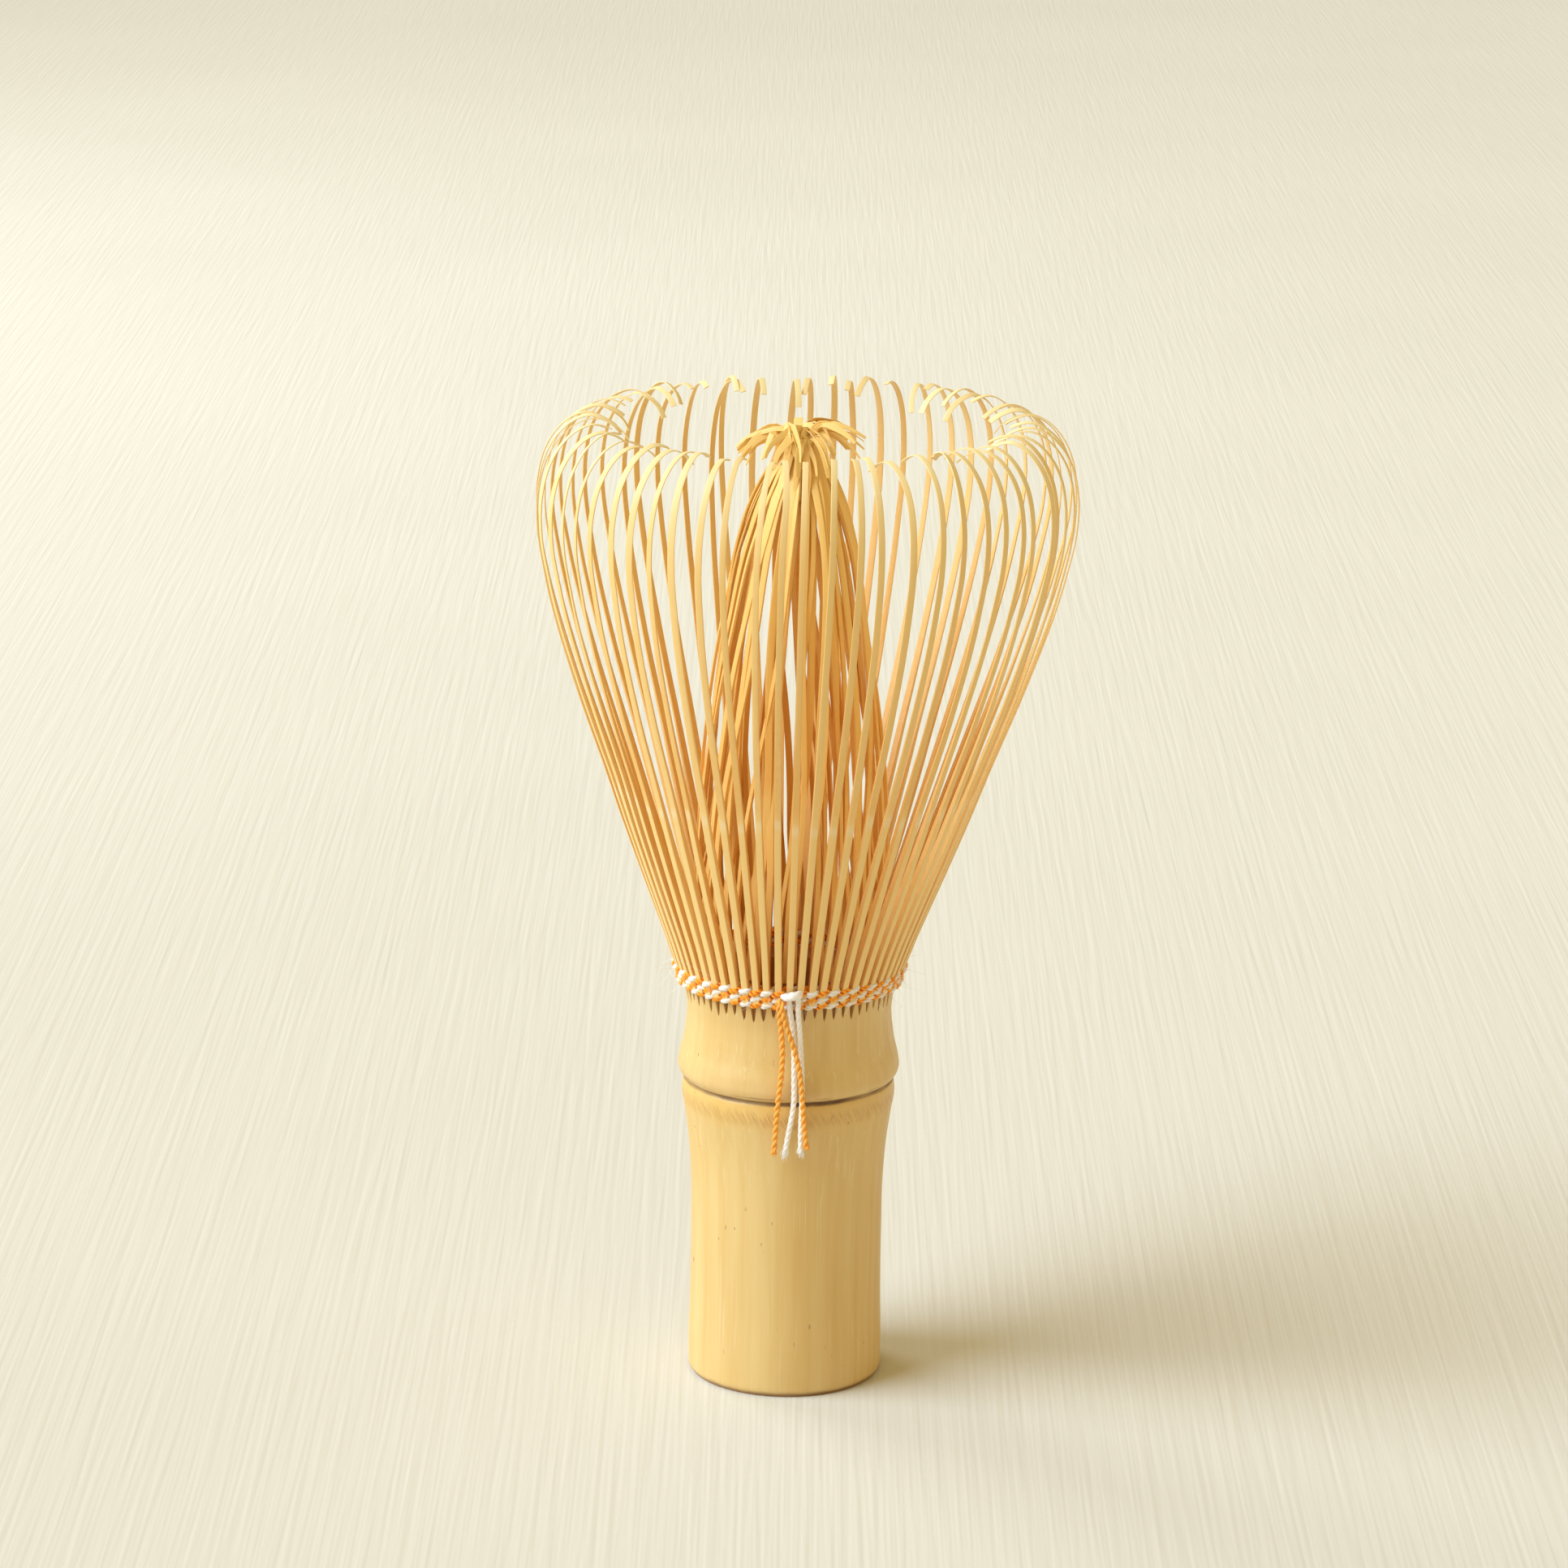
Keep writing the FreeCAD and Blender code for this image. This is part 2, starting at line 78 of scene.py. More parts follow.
class Value:
    """A shader number that takes part in Python arithmetic."""

    def __init__(self, shader: Shader, socket: Socket) -> None:
        """Wrap a socket of a shader's node."""
        self.shader = shader
        self.socket = socket

    def _math(self, operation: str, first: Number, second: Number) -> Value:
        """Return the result of one Math node."""
        return self.shader.value("ShaderNodeMath", {"operation": operation}, {0: first, 1: second})

    def __add__(self, other: Number) -> Value:
        """Return self + other."""
        return self._math("ADD", self, other)

    __radd__ = __add__

    def __sub__(self, other: Number) -> Value:
        """Return self - other."""
        return self._math("SUBTRACT", self, other)

    def __rsub__(self, other: Number) -> Value:
        """Return other - self."""
        return self._math("SUBTRACT", other, self)

    def __mul__(self, other: Number) -> Value:
        """Return self * other."""
        return self._math("MULTIPLY", self, other)

    __rmul__ = __mul__

    def most(self, other: Number) -> Value:
        """Return the larger of self and other."""
        return self._math("MAXIMUM", self, other)

    def size(self) -> Value:
        """Return the value without its sign."""
        return self._math("ABSOLUTE", self, 0.0)

    def between(self, low: float, high: float) -> Value:
        """Return a smooth step: 0 at low, 1 at high; low may be the larger.

        Args:
            low: value at which the step is 0.
            high: value at which the step is 1.

        Returns:
            The step, held to 0 and 1 outside its ends.
        """
        turned = low > high
        ends = (high, low) if turned else (low, high)
        step = self.shader.value("ShaderNodeMapRange", {"interpolation_type": "SMOOTHSTEP"},
                                 {0: self, 1: ends[0], 2: ends[1], 3: 0.0, 4: 1.0})
        return 1.0 - step if turned else step


class Shader:
    """One material and the nodes behind its Principled shader."""

    def __init__(self, name: str) -> None:
        """Make an empty material with its Principled shader."""
        self.material = bpy.data.materials.new(name)
        self.material.use_nodes = True
        self.tree = self.material.node_tree
        self.principled = self.tree.nodes["Principled BSDF"]
        self.place = self.node("ShaderNodeTexCoord").outputs["Object"]

    def node(self, kind: str, settings: dict[str, object] | None = None,
             inputs: Inputs | None = None) -> bpy.types.Node:
        """Add a node of any kind.

        Args:
            kind: the node's type name.
            settings: its settings, set before its sockets.
            inputs: values or links for its sockets, by number or name.

        Returns:
            The new node.
        """
        made = self.tree.nodes.new(kind)
        for name, setting in (settings or {}).items():
            setattr(made, name, setting)
        for key, given in (inputs or {}).items():
            self.feed(made.inputs[key], given)
        return made

    def feed(self, socket: Socket, given: object) -> None:
        """Link a socket to a value or another socket, or set its constant."""
        source = given.socket if isinstance(given, Value) else given
        if isinstance(source, Socket):
            self.tree.links.new(source, socket)
        elif isinstance(source, tuple) and len(source) == 3 and socket.type == "RGBA":
            socket.default_value = (*source, 1.0)
        else:
            socket.default_value = source

    def value(self, kind: str, settings: dict[str, object] | None = None, inputs: Inputs | None = None,
              output: int | str = 0) -> Value:
        """Add a node and return one of its outputs as a Value."""
        return Value(self, self.node(kind, settings, inputs).outputs[output])

    def tag(self, name: str) -> Value:
        """Return a number stored on the mesh."""
        return self.value("ShaderNodeAttribute", {"attribute_name": name}, output="Fac")

    def axis(self, letter: str) -> Value:
        """Return one object-space coordinate in millimetres."""
        parts = self.node("ShaderNodeSeparateXYZ", {}, {0: self.place})
        return Value(self, parts.outputs[letter.upper()]) * (1 / MM)

    def noise(self, scale: float, stretch: Place = (1, 1, 1), detail: float = 3.0,
              roughness: float = 0.55, distortion: float = 0.0) -> Value:
        """Return a noise field over the object.

        Args:
            scale: waves per metre before stretching.
            stretch: factor on each coordinate; below 1 draws the pattern out.
            detail: octaves.
            roughness: weight of the finer octaves.
            distortion: how far the pattern is bent.

        Returns:
            Noise from 0 to 1.
        """
        drawn = self.node("ShaderNodeMapping", {}, {"Vector": self.place, "Scale": stretch})
        return self.value("ShaderNodeTexNoise", {}, {
            "Vector": drawn.outputs[0], "Scale": scale, "Detail": detail,
            "Roughness": roughness, "Distortion": distortion,
        })

    def mix(self, share: Number, first: object, second: object) -> Socket:
        """Return a colour between two colours."""
        made = self.node("ShaderNodeMix", {"data_type": "RGBA"}, {0: share, 6: first, 7: second})
        return made.outputs[2]

    def stained(self, colour: object, *layers: tuple[Value, Colour]) -> object:
        """Return a colour with others laid over it in order.

        Args:
            colour: the lowest colour.
            layers: share and colour of each layer.

        Returns:
            The top colour.
        """
        for share, stain in layers:
            colour = self.mix(share, colour, stain)
        return colour

    def finish(self, colour: object, roughness: Number, height: Value | None = None,
               bump_mm: float = 0.02, **constants: float) -> Material:
        """Join colour, roughness and bump to the Principled shader.

        Args:
            colour: base colour.
            roughness: roughness.
            height: field that the bump follows, from 0 to 1.
            bump_mm: height of the bump.
            constants: other sockets of the shader, with underscores for spaces.

        Returns:
            The finished material.
        """
        self.feed(self.principled.inputs["Base Color"], colour)
        self.feed(self.principled.inputs["Roughness"], roughness)
        for name, constant in constants.items():
            self.feed(self.principled.inputs[name.replace("_", " ")], constant)
        if height is not None:
            relief = {"Strength": 1.0, "Distance": bump_mm * MM, "Height": height}
            bump = self.node("ShaderNodeBump", {}, relief)
            self.feed(self.principled.inputs["Normal"], bump.outputs[0])
        return self.material


# ---- finishes


@dataclass(frozen=True)
class CulmFinish:
    """Dry culm rind: waxy straw yellow, streaked upright, with its node line and a few blemishes."""

    pale: Colour = (0.78, 0.57, 0.24)
    straw: Colour = (0.70, 0.455, 0.145)
    thread_line: Colour = (0.82, 0.65, 0.33)
    honey: Colour = (0.80, 0.49, 0.12)
    blush: Colour = (0.74, 0.46, 0.20)
    crease: Colour = (0.58, 0.33, 0.10)
    dark: Colour = (0.11, 0.04, 0.013)
    raw: Colour = (0.50, 0.27, 0.09)
    shadowed: Colour = (0.50, 0.25, 0.085)
    contact_shade: Colour = (0.22, 0.10, 0.035)
    freckle: Colour = (0.30, 0.14, 0.05)
    node_z: float = 36.6
    zone_low_z: float = 33.7
    ridge_z: float = 37.8
    ridge_top_z: float = 40.2

    def material(self) -> Material:
        """Return the culm's material."""
        shader = Shader("culm_rind")
        height = shader.axis("z")
        streaks = shader.noise(900.0, (1.0, 1.0, 0.035), detail=4.0, distortion=0.15)
        broad = shader.noise(210.0, (1.0, 1.0, 0.06), detail=2.0)
        clouds = shader.noise(85.0, (1.0, 1.0, 0.5), detail=2.0)
        tone = streaks * 0.45 + broad * 0.4 + clouds * 0.35
        grain = shader.noise(2300.0, (1.0, 1.0, 0.012), detail=2.0).between(0.60, 0.72)
        below = height.between(self.zone_low_z - 1.2, self.zone_low_z + 0.9)
        zone = below * height.between(self.node_z + 0.25, self.node_z - 0.15)
        patches = clouds.between(0.3, 0.62) * 0.5 + 0.5
        ridge = height.between(self.node_z, self.node_z + 0.5)
        ridge = ridge * height.between(self.ridge_top_z, self.ridge_z)
        wander = shader.noise(420.0, detail=4.0) * 0.9 - 0.45
        line = self._node_line(height, wander)
        freckles = shader.noise(1500.0, (1.0, 1.0, 0.45), detail=1.0).between(0.715, 0.77)
        freckles = freckles * shader.noise(95.0, detail=1.0).between(0.52, 0.66)
        scars = shader.noise(330.0, (0.5, 0.5, 2.6), detail=2.0).between(0.77, 0.80)
        foot = (height + wander * 0.5).between(0.75, 0.2)
        cut = shader.tag("cut")
        ripples = self._ripples(height, below)
        colour = shader.stained(
            shader.mix(tone.between(0.38, 0.82), self.pale, self.straw),
            (grain * 0.55, self.thread_line),
            (zone * patches * 0.75, self.honey),
            (ridge * clouds.between(0.35, 0.7) * 0.6, self.blush),
            (line, self.dark),
            (freckles * 0.75, self.freckle),
            (scars * 0.4, self.honey),
            # painted contact shadow: the bottom of the handle is painted dark where it stands on the floor
            (foot * 0.85, self.contact_shade),
            (cut, self.raw),
            # painted shade: the rind inside the slits, the fingers and the cup is painted dark
            (shader.tag("slit"), self.shadowed),
            # painted shade: the wrinkles below the node are painted darker in their creases
            (ripples * 0.6, self.crease),
        )
        relief = streaks * 0.75 + grain * 0.25 + broad * 0.25 - ripples * 1.5 - line * 1.6
        gloss = 0.38 + clouds * 0.16 + line * 0.3 + cut * 0.3 - zone * 0.08
        return shader.finish(colour, gloss, relief, 0.04, Specular_IOR_Level=0.75)

    def _node_line(self, height: Value, wander: Value) -> Value:
        """Return the node's dark line and the faint one above it.

        Args:
            height: height above the foot.
            wander: how far the line strays, as a share of a millimetre.

        Returns:
            Where the lines are, from 0 to 1.
        """
        shader = height.shader
        weight = shader.noise(130.0, detail=2.0).between(0.30, 0.62) * 0.5 + 0.5
        line = (height + wander * 0.35 - self.node_z).size().between(0.46, 0.12) * weight
        faint = (height + wander * 0.5 - self.node_z - 0.62).size().between(0.16, 0.02)
        return line.most(faint * shader.noise(160.0, detail=2.0).between(0.45, 0.7) * 0.55)

    def _ripples(self, height: Value, zone: Value) -> Value:
        """Return the fine slanted wrinkles below the node.

        Args:
            height: height above the foot.
            zone: where wrinkles may be.

        Returns:
            Where the wrinkles are, from 0 to 1.
        """
        shader = height.shader
        ends = {0: shader.axis("y"), 1: shader.axis("x")}
        turn = shader.value("ShaderNodeMath", {"operation": "ARCTAN2"}, ends)
        slanted = {0: turn * 12.4 + height * 0.5, 1: height * 0.22}
        wrinkle = shader.value("ShaderNodeTexNoise", {}, {
            "Vector": shader.value("ShaderNodeCombineXYZ", {}, slanted),
            "Scale": 2.1, "Detail": 2.0, "Roughness": 0.5,
        })
        fade = height.between(self.node_z - 0.7, self.node_z - 1.9)
        fade = fade * height.between(self.zone_low_z - 1.0, self.zone_low_z + 0.3)
        return wrinkle.between(0.35, 0.65) * fade * zone


class Cut(Enum):
    """Which layer of the culm a tine is cut from."""

    OUTER = "outer"
    INNER = "inner"


@dataclass(frozen=True)
class TineFinish:
    """Split bamboo: pale rind face, deeper yellow flesh, fine lengthwise fibre."""

    cut: Cut
    rind: Colour
    flesh: Colour
    deep: Colour
    tip: Colour
    tip_from: float
    mark: Colour = (0.90, 0.76, 0.50)
    shave_z: float = 72.5
    painted_lift_z: tuple[float, float] = (68.0, 104.0)
    root_z: tuple[float, float] = (50.0, 56.5)

    def material(self) -> Material:
        """Return the material of one layer of tines."""
        shader = Shader(self.cut.value + "_tine_bamboo")
        height = shader.axis("z")
        tone = shader.tag("tone")
        fibre = shader.noise(2600.0, (1.0, 1.0, 0.02), detail=3.0)
        drift = shader.noise(160.0, (1.0, 1.0, 0.25), detail=2.0)
        flesh = shader.mix((tone * 0.75 + fibre * 0.45).between(0.25, 0.95), self.flesh, self.deep)
        # painted light: the flesh is painted paler towards the rind colour up the tine, lifting the shade on
        # the inner faces
        flesh = shader.mix(height.between(*self.painted_lift_z) * 0.6, flesh, self.rind)
        outer_face = shader.tag("rind").between(0.45, 0.9)
        rind = shader.mix((fibre * 0.6 + drift * 0.5 + tone * 0.3).between(0.35, 1.05), self.rind, self.flesh)
        below = height.between(self.shave_z + 2.5, self.shave_z - 1.0)
        ends = shader.tag("along").between(self.tip_from, 0.97)
        # painted shade: the side and inner faces are painted deeper near the roots, where the tines crowd
        # together
        root = 1.0 - height.between(*self.root_z)
        colour = shader.stained(
            shader.mix(outer_face * (below * 0.75 + 0.25), flesh, rind),
            # paler tips: the thin ends' own colour; on the inner tuft, where it starts low, it is also
            # painted light that lifts the tuft's shade
            (ends * (1.0 - tone * 0.35), self.tip),
            (root * (1.0 - outer_face) * 0.55, self.deep),
        )
        if self.cut is Cut.OUTER:
            shaved = (height - self.shave_z + drift * 5.0 - 2.5).size().between(1.1, 0.1)
            colour = shader.mix(shaved * outer_face * 0.45, colour, self.mark)
        relief = fibre + drift * 0.3
        return shader.finish(colour, 0.44 + fibre * 0.14, relief, 0.012, Specular_IOR_Level=0.4)


OUTER_FINISH = TineFinish(
    Cut.OUTER, rind=(0.90, 0.65, 0.265), flesh=(0.90, 0.60, 0.23),
    deep=(0.80, 0.43, 0.11), tip=(0.93, 0.78, 0.42), tip_from=0.72,
)
# the inner tines' tip colour starts low on the tuft: painted light that lifts its shade
INNER_FINISH = TineFinish(
    Cut.INNER, rind=(0.96, 0.67, 0.23), flesh=(0.95, 0.60, 0.17),
    deep=(0.86, 0.44, 0.09), tip=(0.91, 0.65, 0.23), tip_from=0.3,
)


class Dye(Enum):
    """The binding's two threads, by name and by the order they cross the front tine."""

    WHITE = 0
    ORANGE = 1

    @property
    def word(self) -> str:
        """Return the dye's name in lower case."""
        return self.name.lower()

    @property
    def slot(self) -> str:
        """Return the record's material slot for this thread."""
        return self.word + "_thread"

    @property
    def plies(self) -> int:
        """Return how many yarns the thread is twisted from."""
        return 2 if self is Dye.ORANGE else 3


@dataclass(frozen=True)
class ThreadFinish:
    """Twisted thread: fibres along the yarn, and painted shade that darkens the grooves between yarns."""

    dye: Dye
    light: Colour
    shade: Colour
    sheen: float

    def material(self) -> Material:
        """Return the thread's material."""
        shader = Shader(self.dye.slot)
        groove = shader.tag("groove")
        fibre = shader.noise(5200.0, (1.0, 1.0, 0.35), detail=3.0)
        # painted shade: the grooves between the plies are painted in the shade colour
        colour = shader.mix((groove * 1.3 + fibre * 0.3 - 0.15).between(0.10, 0.72), self.light, self.shade)
        return shader.finish(
            colour, 0.62 + fibre * 0.2, fibre, 0.03,
            Sheen_Weight=self.sheen, Sheen_Roughness=0.4, Specular_IOR_Level=0.35,
        )


THREAD_FINISH = {
    Dye.ORANGE: ThreadFinish(Dye.ORANGE, (1.0, 0.37, 0.014), (0.66, 0.10, 0.002), 0.12),
    Dye.WHITE: ThreadFinish(Dye.WHITE, (0.88, 0.86, 0.83), (0.66, 0.62, 0.58), 0.35),
}


# ---- mesh building


def unit(vectors: Array) -> Array:
    """Return vectors scaled to length one."""
    return vectors / np.maximum(np.linalg.norm(vectors, axis=-1, keepdims=True), 1e-12)


def smooth_line(points: Sequence[Sequence[float]], count: int, crowding: float = 1.0) -> Array:
    """Spread points along a smooth line through the given ones.

    Args:
        points: points that the line passes through.
        count: how many points come back.
        crowding: above 1 sets them closer together towards the end.

    Returns:
        The points, one row each.
    """
    given = np.asarray(points, float)
    steps = np.linalg.norm(np.diff(given, axis=0), axis=1)
    slopes = np.diff(given, axis=0) / steps[:, None]
    before, after = steps[:-1, None], steps[1:, None]
    inner = (slopes[:-1] * after + slopes[1:] * before) / (before + after)
    tangents = np.vstack([slopes[:1], inner, slopes[-1:]])
    share = np.linspace(0, 1, FINE_STEPS, endpoint=False)[None, :, None]
    start, end = given[:-1, None], given[1:, None]
    lead, tail = tangents[:-1, None] * steps[:, None, None], tangents[1:, None] * steps[:, None, None]
    fine = ((2 * share**3 - 3 * share**2 + 1) * start + (share**3 - 2 * share**2 + share) * lead
            + (3 * share**2 - 2 * share**3) * end + (share**3 - share**2) * tail)
    fine = np.vstack([fine.reshape(-1, given.shape[1]), given[-1:]])
    travelled = np.concatenate([[0], np.cumsum(np.linalg.norm(np.diff(fine, axis=0), axis=1))])
    wanted = travelled[-1] * (1 - (1 - np.linspace(0, 1, count)) ** crowding)
    return np.stack([np.interp(wanted, travelled, fine[:, k]) for k in range(given.shape[1])], axis=1)


def turn_frames(path: Array, side: Array) -> tuple[Array, Array]:
    """Give every point of a path its own directions, carried along without twisting.

    Args:
        path: points of the path.
        side: direction that the first frame's side should follow.

    Returns:
        Sides, and the normals across them and the path, one row for each point.
    """
    tangents = unit(np.gradient(path, axis=0))
    sides = np.empty_like(path)
    current = side
    for number, tangent in enumerate(tangents):
        current = current - tangent * np.dot(current, tangent)
        current = current / max(np.linalg.norm(current), 1e-12)
        sides[number] = current
    return sides, np.cross(sides, tangents)


@dataclass
class Skin:
    """Gathers lofted shells and makes them into one mesh."""

    points: list[Array] = field(default_factory=list)
    faces: list[list[int]] = field(default_factory=list)
    tags: dict[str, list[Array]] = field(default_factory=dict)
    count: int = 0

    def shell(self, rings: Array, capped: bool = True, **tags: Array | float) -> None:
        """Add a shell whose cross-sections are rings.

        Args:
            rings: points in millimetres, as (ring, point, coordinate).
            capped: whether the first and last ring are closed with a face.
            tags: numbers for the vertices, one for all or one for each.
        """
        number, around, _ = rings.shape
        base = self.count + np.arange(number * around).reshape(number, around)
        following = np.roll(base, -1, axis=1)
        quads = np.stack([base[:-1], following[:-1], following[1:], base[1:]], axis=-1).reshape(-1, 4)
        self.faces.extend(quads.tolist())
        if capped:
            self.faces.append(base[0][::-1].tolist())
            self.faces.append(base[-1].tolist())
        self.points.append(rings.reshape(-1, 3))
        for name, given in tags.items():
            spread = np.broadcast_to(np.asarray(given, float), (number, around))
            self.tags.setdefault(name, []).append(spread.reshape(-1))
        self.count += number * around

    def made(self, name: str, material: Material, crease: float = 60.0) -> Piece:
        """Make the gathered shells into one object.

        Args:
            name: name of the piece.
            material: its material.
            crease: angle in degrees past which an edge stays sharp.

        Returns:
            The object, in the scene.
        """
        mesh = bpy.data.meshes.new(name)
        mesh.from_pydata((np.vstack(self.points) * MM).tolist(), [], self.faces)
        for tag, given in self.tags.items():
            attribute = mesh.attributes.new(tag, "FLOAT", "POINT")
            attribute.data.foreach_set("value", np.concatenate(given).astype(np.float32))
        mesh.materials.append(material)
        mesh.validate()
        mesh.shade_smooth()
        mesh.set_sharp_from_angle(angle=math.radians(crease))
        return linked(name, mesh)


def tube_rings(path: Array, radius: Array | float, around: int) -> Array:
    """Return rings of a round tube.

    Args:
        path: centreline.
        radius: radius, one for all points or one for each.
        around: points in a ring.

    Returns:
        The rings of the tube's shell.
    """
    first = np.cross(path[1] - path[0], (0.31, 0.17, 0.93))
    sides, normals = turn_frames(path, first)
    angles = np.linspace(0, math.tau, around, endpoint=False)
    reach = np.broadcast_to(np.asarray(radius, float), (len(path),))[:, None, None]
    across = sides[:, None] * np.cos(angles)[None, :, None] - normals[:, None] * np.sin(angles)[None, :, None]
    return path[:, None] + across * reach


def linked(name: str, data: bpy.types.ID) -> Piece:
    """Return a new object of some data, in the scene."""
    made = bpy.data.objects.new(name, data)
    bpy.context.scene.collection.objects.link(made)
    return made


def settle(piece: Piece, body: str, slot: str, *nodes: str) -> None:
    """Put a piece on its body.

    Args:
        piece: the object.
        body: body that it rides on.
        slot: the record's material slot; not used.
        nodes: nodes of the frame that it stands for.
    """
    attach(piece, body)
    if nodes:
        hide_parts(*nodes)
    LOG.info("%s: %d faces on %s", piece.name, len(piece.data.polygons), body)


def read_off(table: Outline, places: Array) -> Array:
    """Return values read off a table of places and values."""
    return np.interp(places, *zip(*table))


def polar(radius: Array | float, angle: Array | float, z: Array | float) -> Array:
    """Return points at a radius, an angle in radians and a height."""
    radius, angle, z = np.broadcast_arrays(radius, angle, z)
    return np.stack([radius * np.cos(angle), radius * np.sin(angle), z], axis=-1)


# ---- the whisk


@dataclass(frozen=True)
class Whisk:
    """Sizes that several sub-assemblies share."""

    tines: int = 64
    group: int = 4
    front: float = -math.pi / 2
    finger_top_z: float = 49.75
    top_z: float = 116.0
    lean: float = 1.4

    @property
    def pitch(self) -> float:
        """Return the angle from one outer tine to the next."""
        return math.tau / self.tines

    def leant(self, points: Array) -> Array:
        """Return points moved sideways with the lean of the basket."""
        moved = points.copy()
        share = (points[..., 2] - self.finger_top_z) / (self.top_z - self.finger_top_z)
        moved[..., 0] += self.lean * np.clip(share, 0, 1.2)
        return moved


@dataclass
class Culm:
    """The handle: a hollow culm with its node, split into fingers at the top."""

    whisk: Whisk
    finish: CulmFinish
    lower: Outline = (
        (7.6, 33.0), (7.6, 20.0), (7.6, 0.35), (7.85, 0.0), (11.05, 0.0), (11.42, 0.45), (11.46, 4.0),
        (11.34, 9.0), (11.3, 18.0), (11.36, 24.0), (11.72, 29.0), (12.2, 32.6), (12.55, 35.0), (12.42, 36.2),
    )
    upper: Outline = (
        (12.28, 36.6), (12.62, 36.95), (13.02, 37.8), (12.95, 38.8), (12.45, 41.0), (12.1, 43.4),
        (12.02, 45.0), (12.15, 46.4), (12.4, 48.0), (12.65, 49.75),
    )
    cup_radius: float = 9.6
    cup_rim_z: float = 48.0
    groove_radius: float = 11.1
    finger_wall: float = 0.75
    septum_z: float = 36.0
    slit_z: float = 46.6
    slit_rise: float = 1.75
    slit_half: float = 0.29
    slit_point: float = 0.65
    slit_depth: float = 0.3
    slit_deepens: float = 0.45
    seam: float = 0.03
    face_columns: int = 7
    notch_columns: int = 4
    seed: int = 11

    def build(self) -> None:
        """Build the culm as one object."""
        draw = random.Random(self.seed)
        slits = [self.slit_z + draw.uniform(-0.5, 0.35) for _ in range(self.whisk.tines)]
        widths = [draw.uniform(0.85, 1.15) for _ in range(self.whisk.tines)]
        outline = np.vstack([
            [(0.0, self.lower[0][1])],
            self._spaced(self.lower[:5], 3.0),
            smooth_line(self.lower[5:], 60),
            smooth_line(self.upper[:6], 34),
            smooth_line(self.upper[5:], 40)[1:],
        ])
        rings = [self._ring(radius, z, slits, widths) for radius, z in outline]
        top = rings[-1]
        inside = [self._inner_ring(top, radius, z) for radius, z in (
            (self.groove_radius + self.finger_wall, self.whisk.finger_top_z),
            (self.groove_radius, self.cup_rim_z + 0.2),
            (self.groove_radius - 0.1, self.cup_rim_z + 0.1),
            (self.cup_radius, self.cup_rim_z),
            (self.cup_radius, self.septum_z),
            (0.0, self.septum_z),
        )]
        grid = np.array(rings + inside)
        skin = Skin()
        skin.shell(grid[..., :3], capped=False, cut=grid[..., 3], slit=grid[..., 4])
        made = skin.made("culm_handle", self.finish.material())
        settle(made, "culm", "bamboo_culm", "handle")

    @staticmethod
    def _spaced(outline: Outline, step: float) -> Array:
        """Return an outline of straight runs with extra points on them."""
        points = [outline[0]]
        for start, end in zip(outline, outline[1:]):
            count = max(1, round(math.dist(start, end) / step))
            for number in range(1, count + 1):
                share = number / count
                points.append(tuple(a + (b - a) * share for a, b in zip(start, end)))
        return np.array(points)

    def _ring(self, radius: float, z: float, slits: Sequence[float], widths: Sequence[float]) -> Array:
        """Return one ring of the culm, notched where it passes the slits.

        Args:
            radius: radius of the culm here.
            z: height of the ring.
            slits: height of each slit's point.
            widths: how wide each slit opens.

        Returns:
            Points with two more columns: 1 in the bore or on the foot, and 1 inside a slit.
        """
        whisk = self.whisk
        outside = radius > 9 and z > 0.01
        spread = np.linspace(0, 1, self.face_columns)
        notch = (np.arange(self.notch_columns) + 0.5) / self.notch_columns
        rises = [min(max((z - low) / self.slit_rise, 0.0), 1.0) if outside else 0.0 for low in slits]
        ring = []
        for index in range(whisk.tines):
            middle = whisk.front + index * whisk.pitch
            before, after = (
                self.seam + (self.slit_half - self.seam) * rises[side] ** self.slit_point * widths[side]
                for side in (index - 1, index))
            crown = radius - 0.05 * rises[index] * (2 * spread - 1) ** 4
            places = -0.5 + before + (1 - before - after) * spread
            ring += [(r, middle + place * whisk.pitch, 0.0) for r, place in zip(crown, places)]
            opened = min(rises[index] * 5, 1.0)
            floor = radius - opened * (self.slit_depth + self.slit_deepens * rises[index])
            places = 0.5 - after + 2 * after * notch
            ring += [(floor, middle + place * whisk.pitch, opened) for place in places]
        array = np.array(ring)
        wobble = 1 + 0.0035 * np.sin(2 * array[:, 1] + 0.6) + 0.002 * np.sin(3 * array[:, 1] + z * 0.05)
        points = polar(array[:, 0] * wobble, array[:, 1], z)
        hidden = np.full(len(array), 0.0 if outside else 1.0)
        return np.column_stack([points, hidden, array[:, 2]])

    @staticmethod
    def _inner_ring(outer: Array, radius: float, z: float) -> Array:
        """Return a plain ring inside the fingers, with its points below those of another ring."""
        angles = np.arctan2(outer[:, 1], outer[:, 0])
        return np.column_stack([polar(radius, angles, z), np.ones(len(outer)), np.ones(len(outer))])


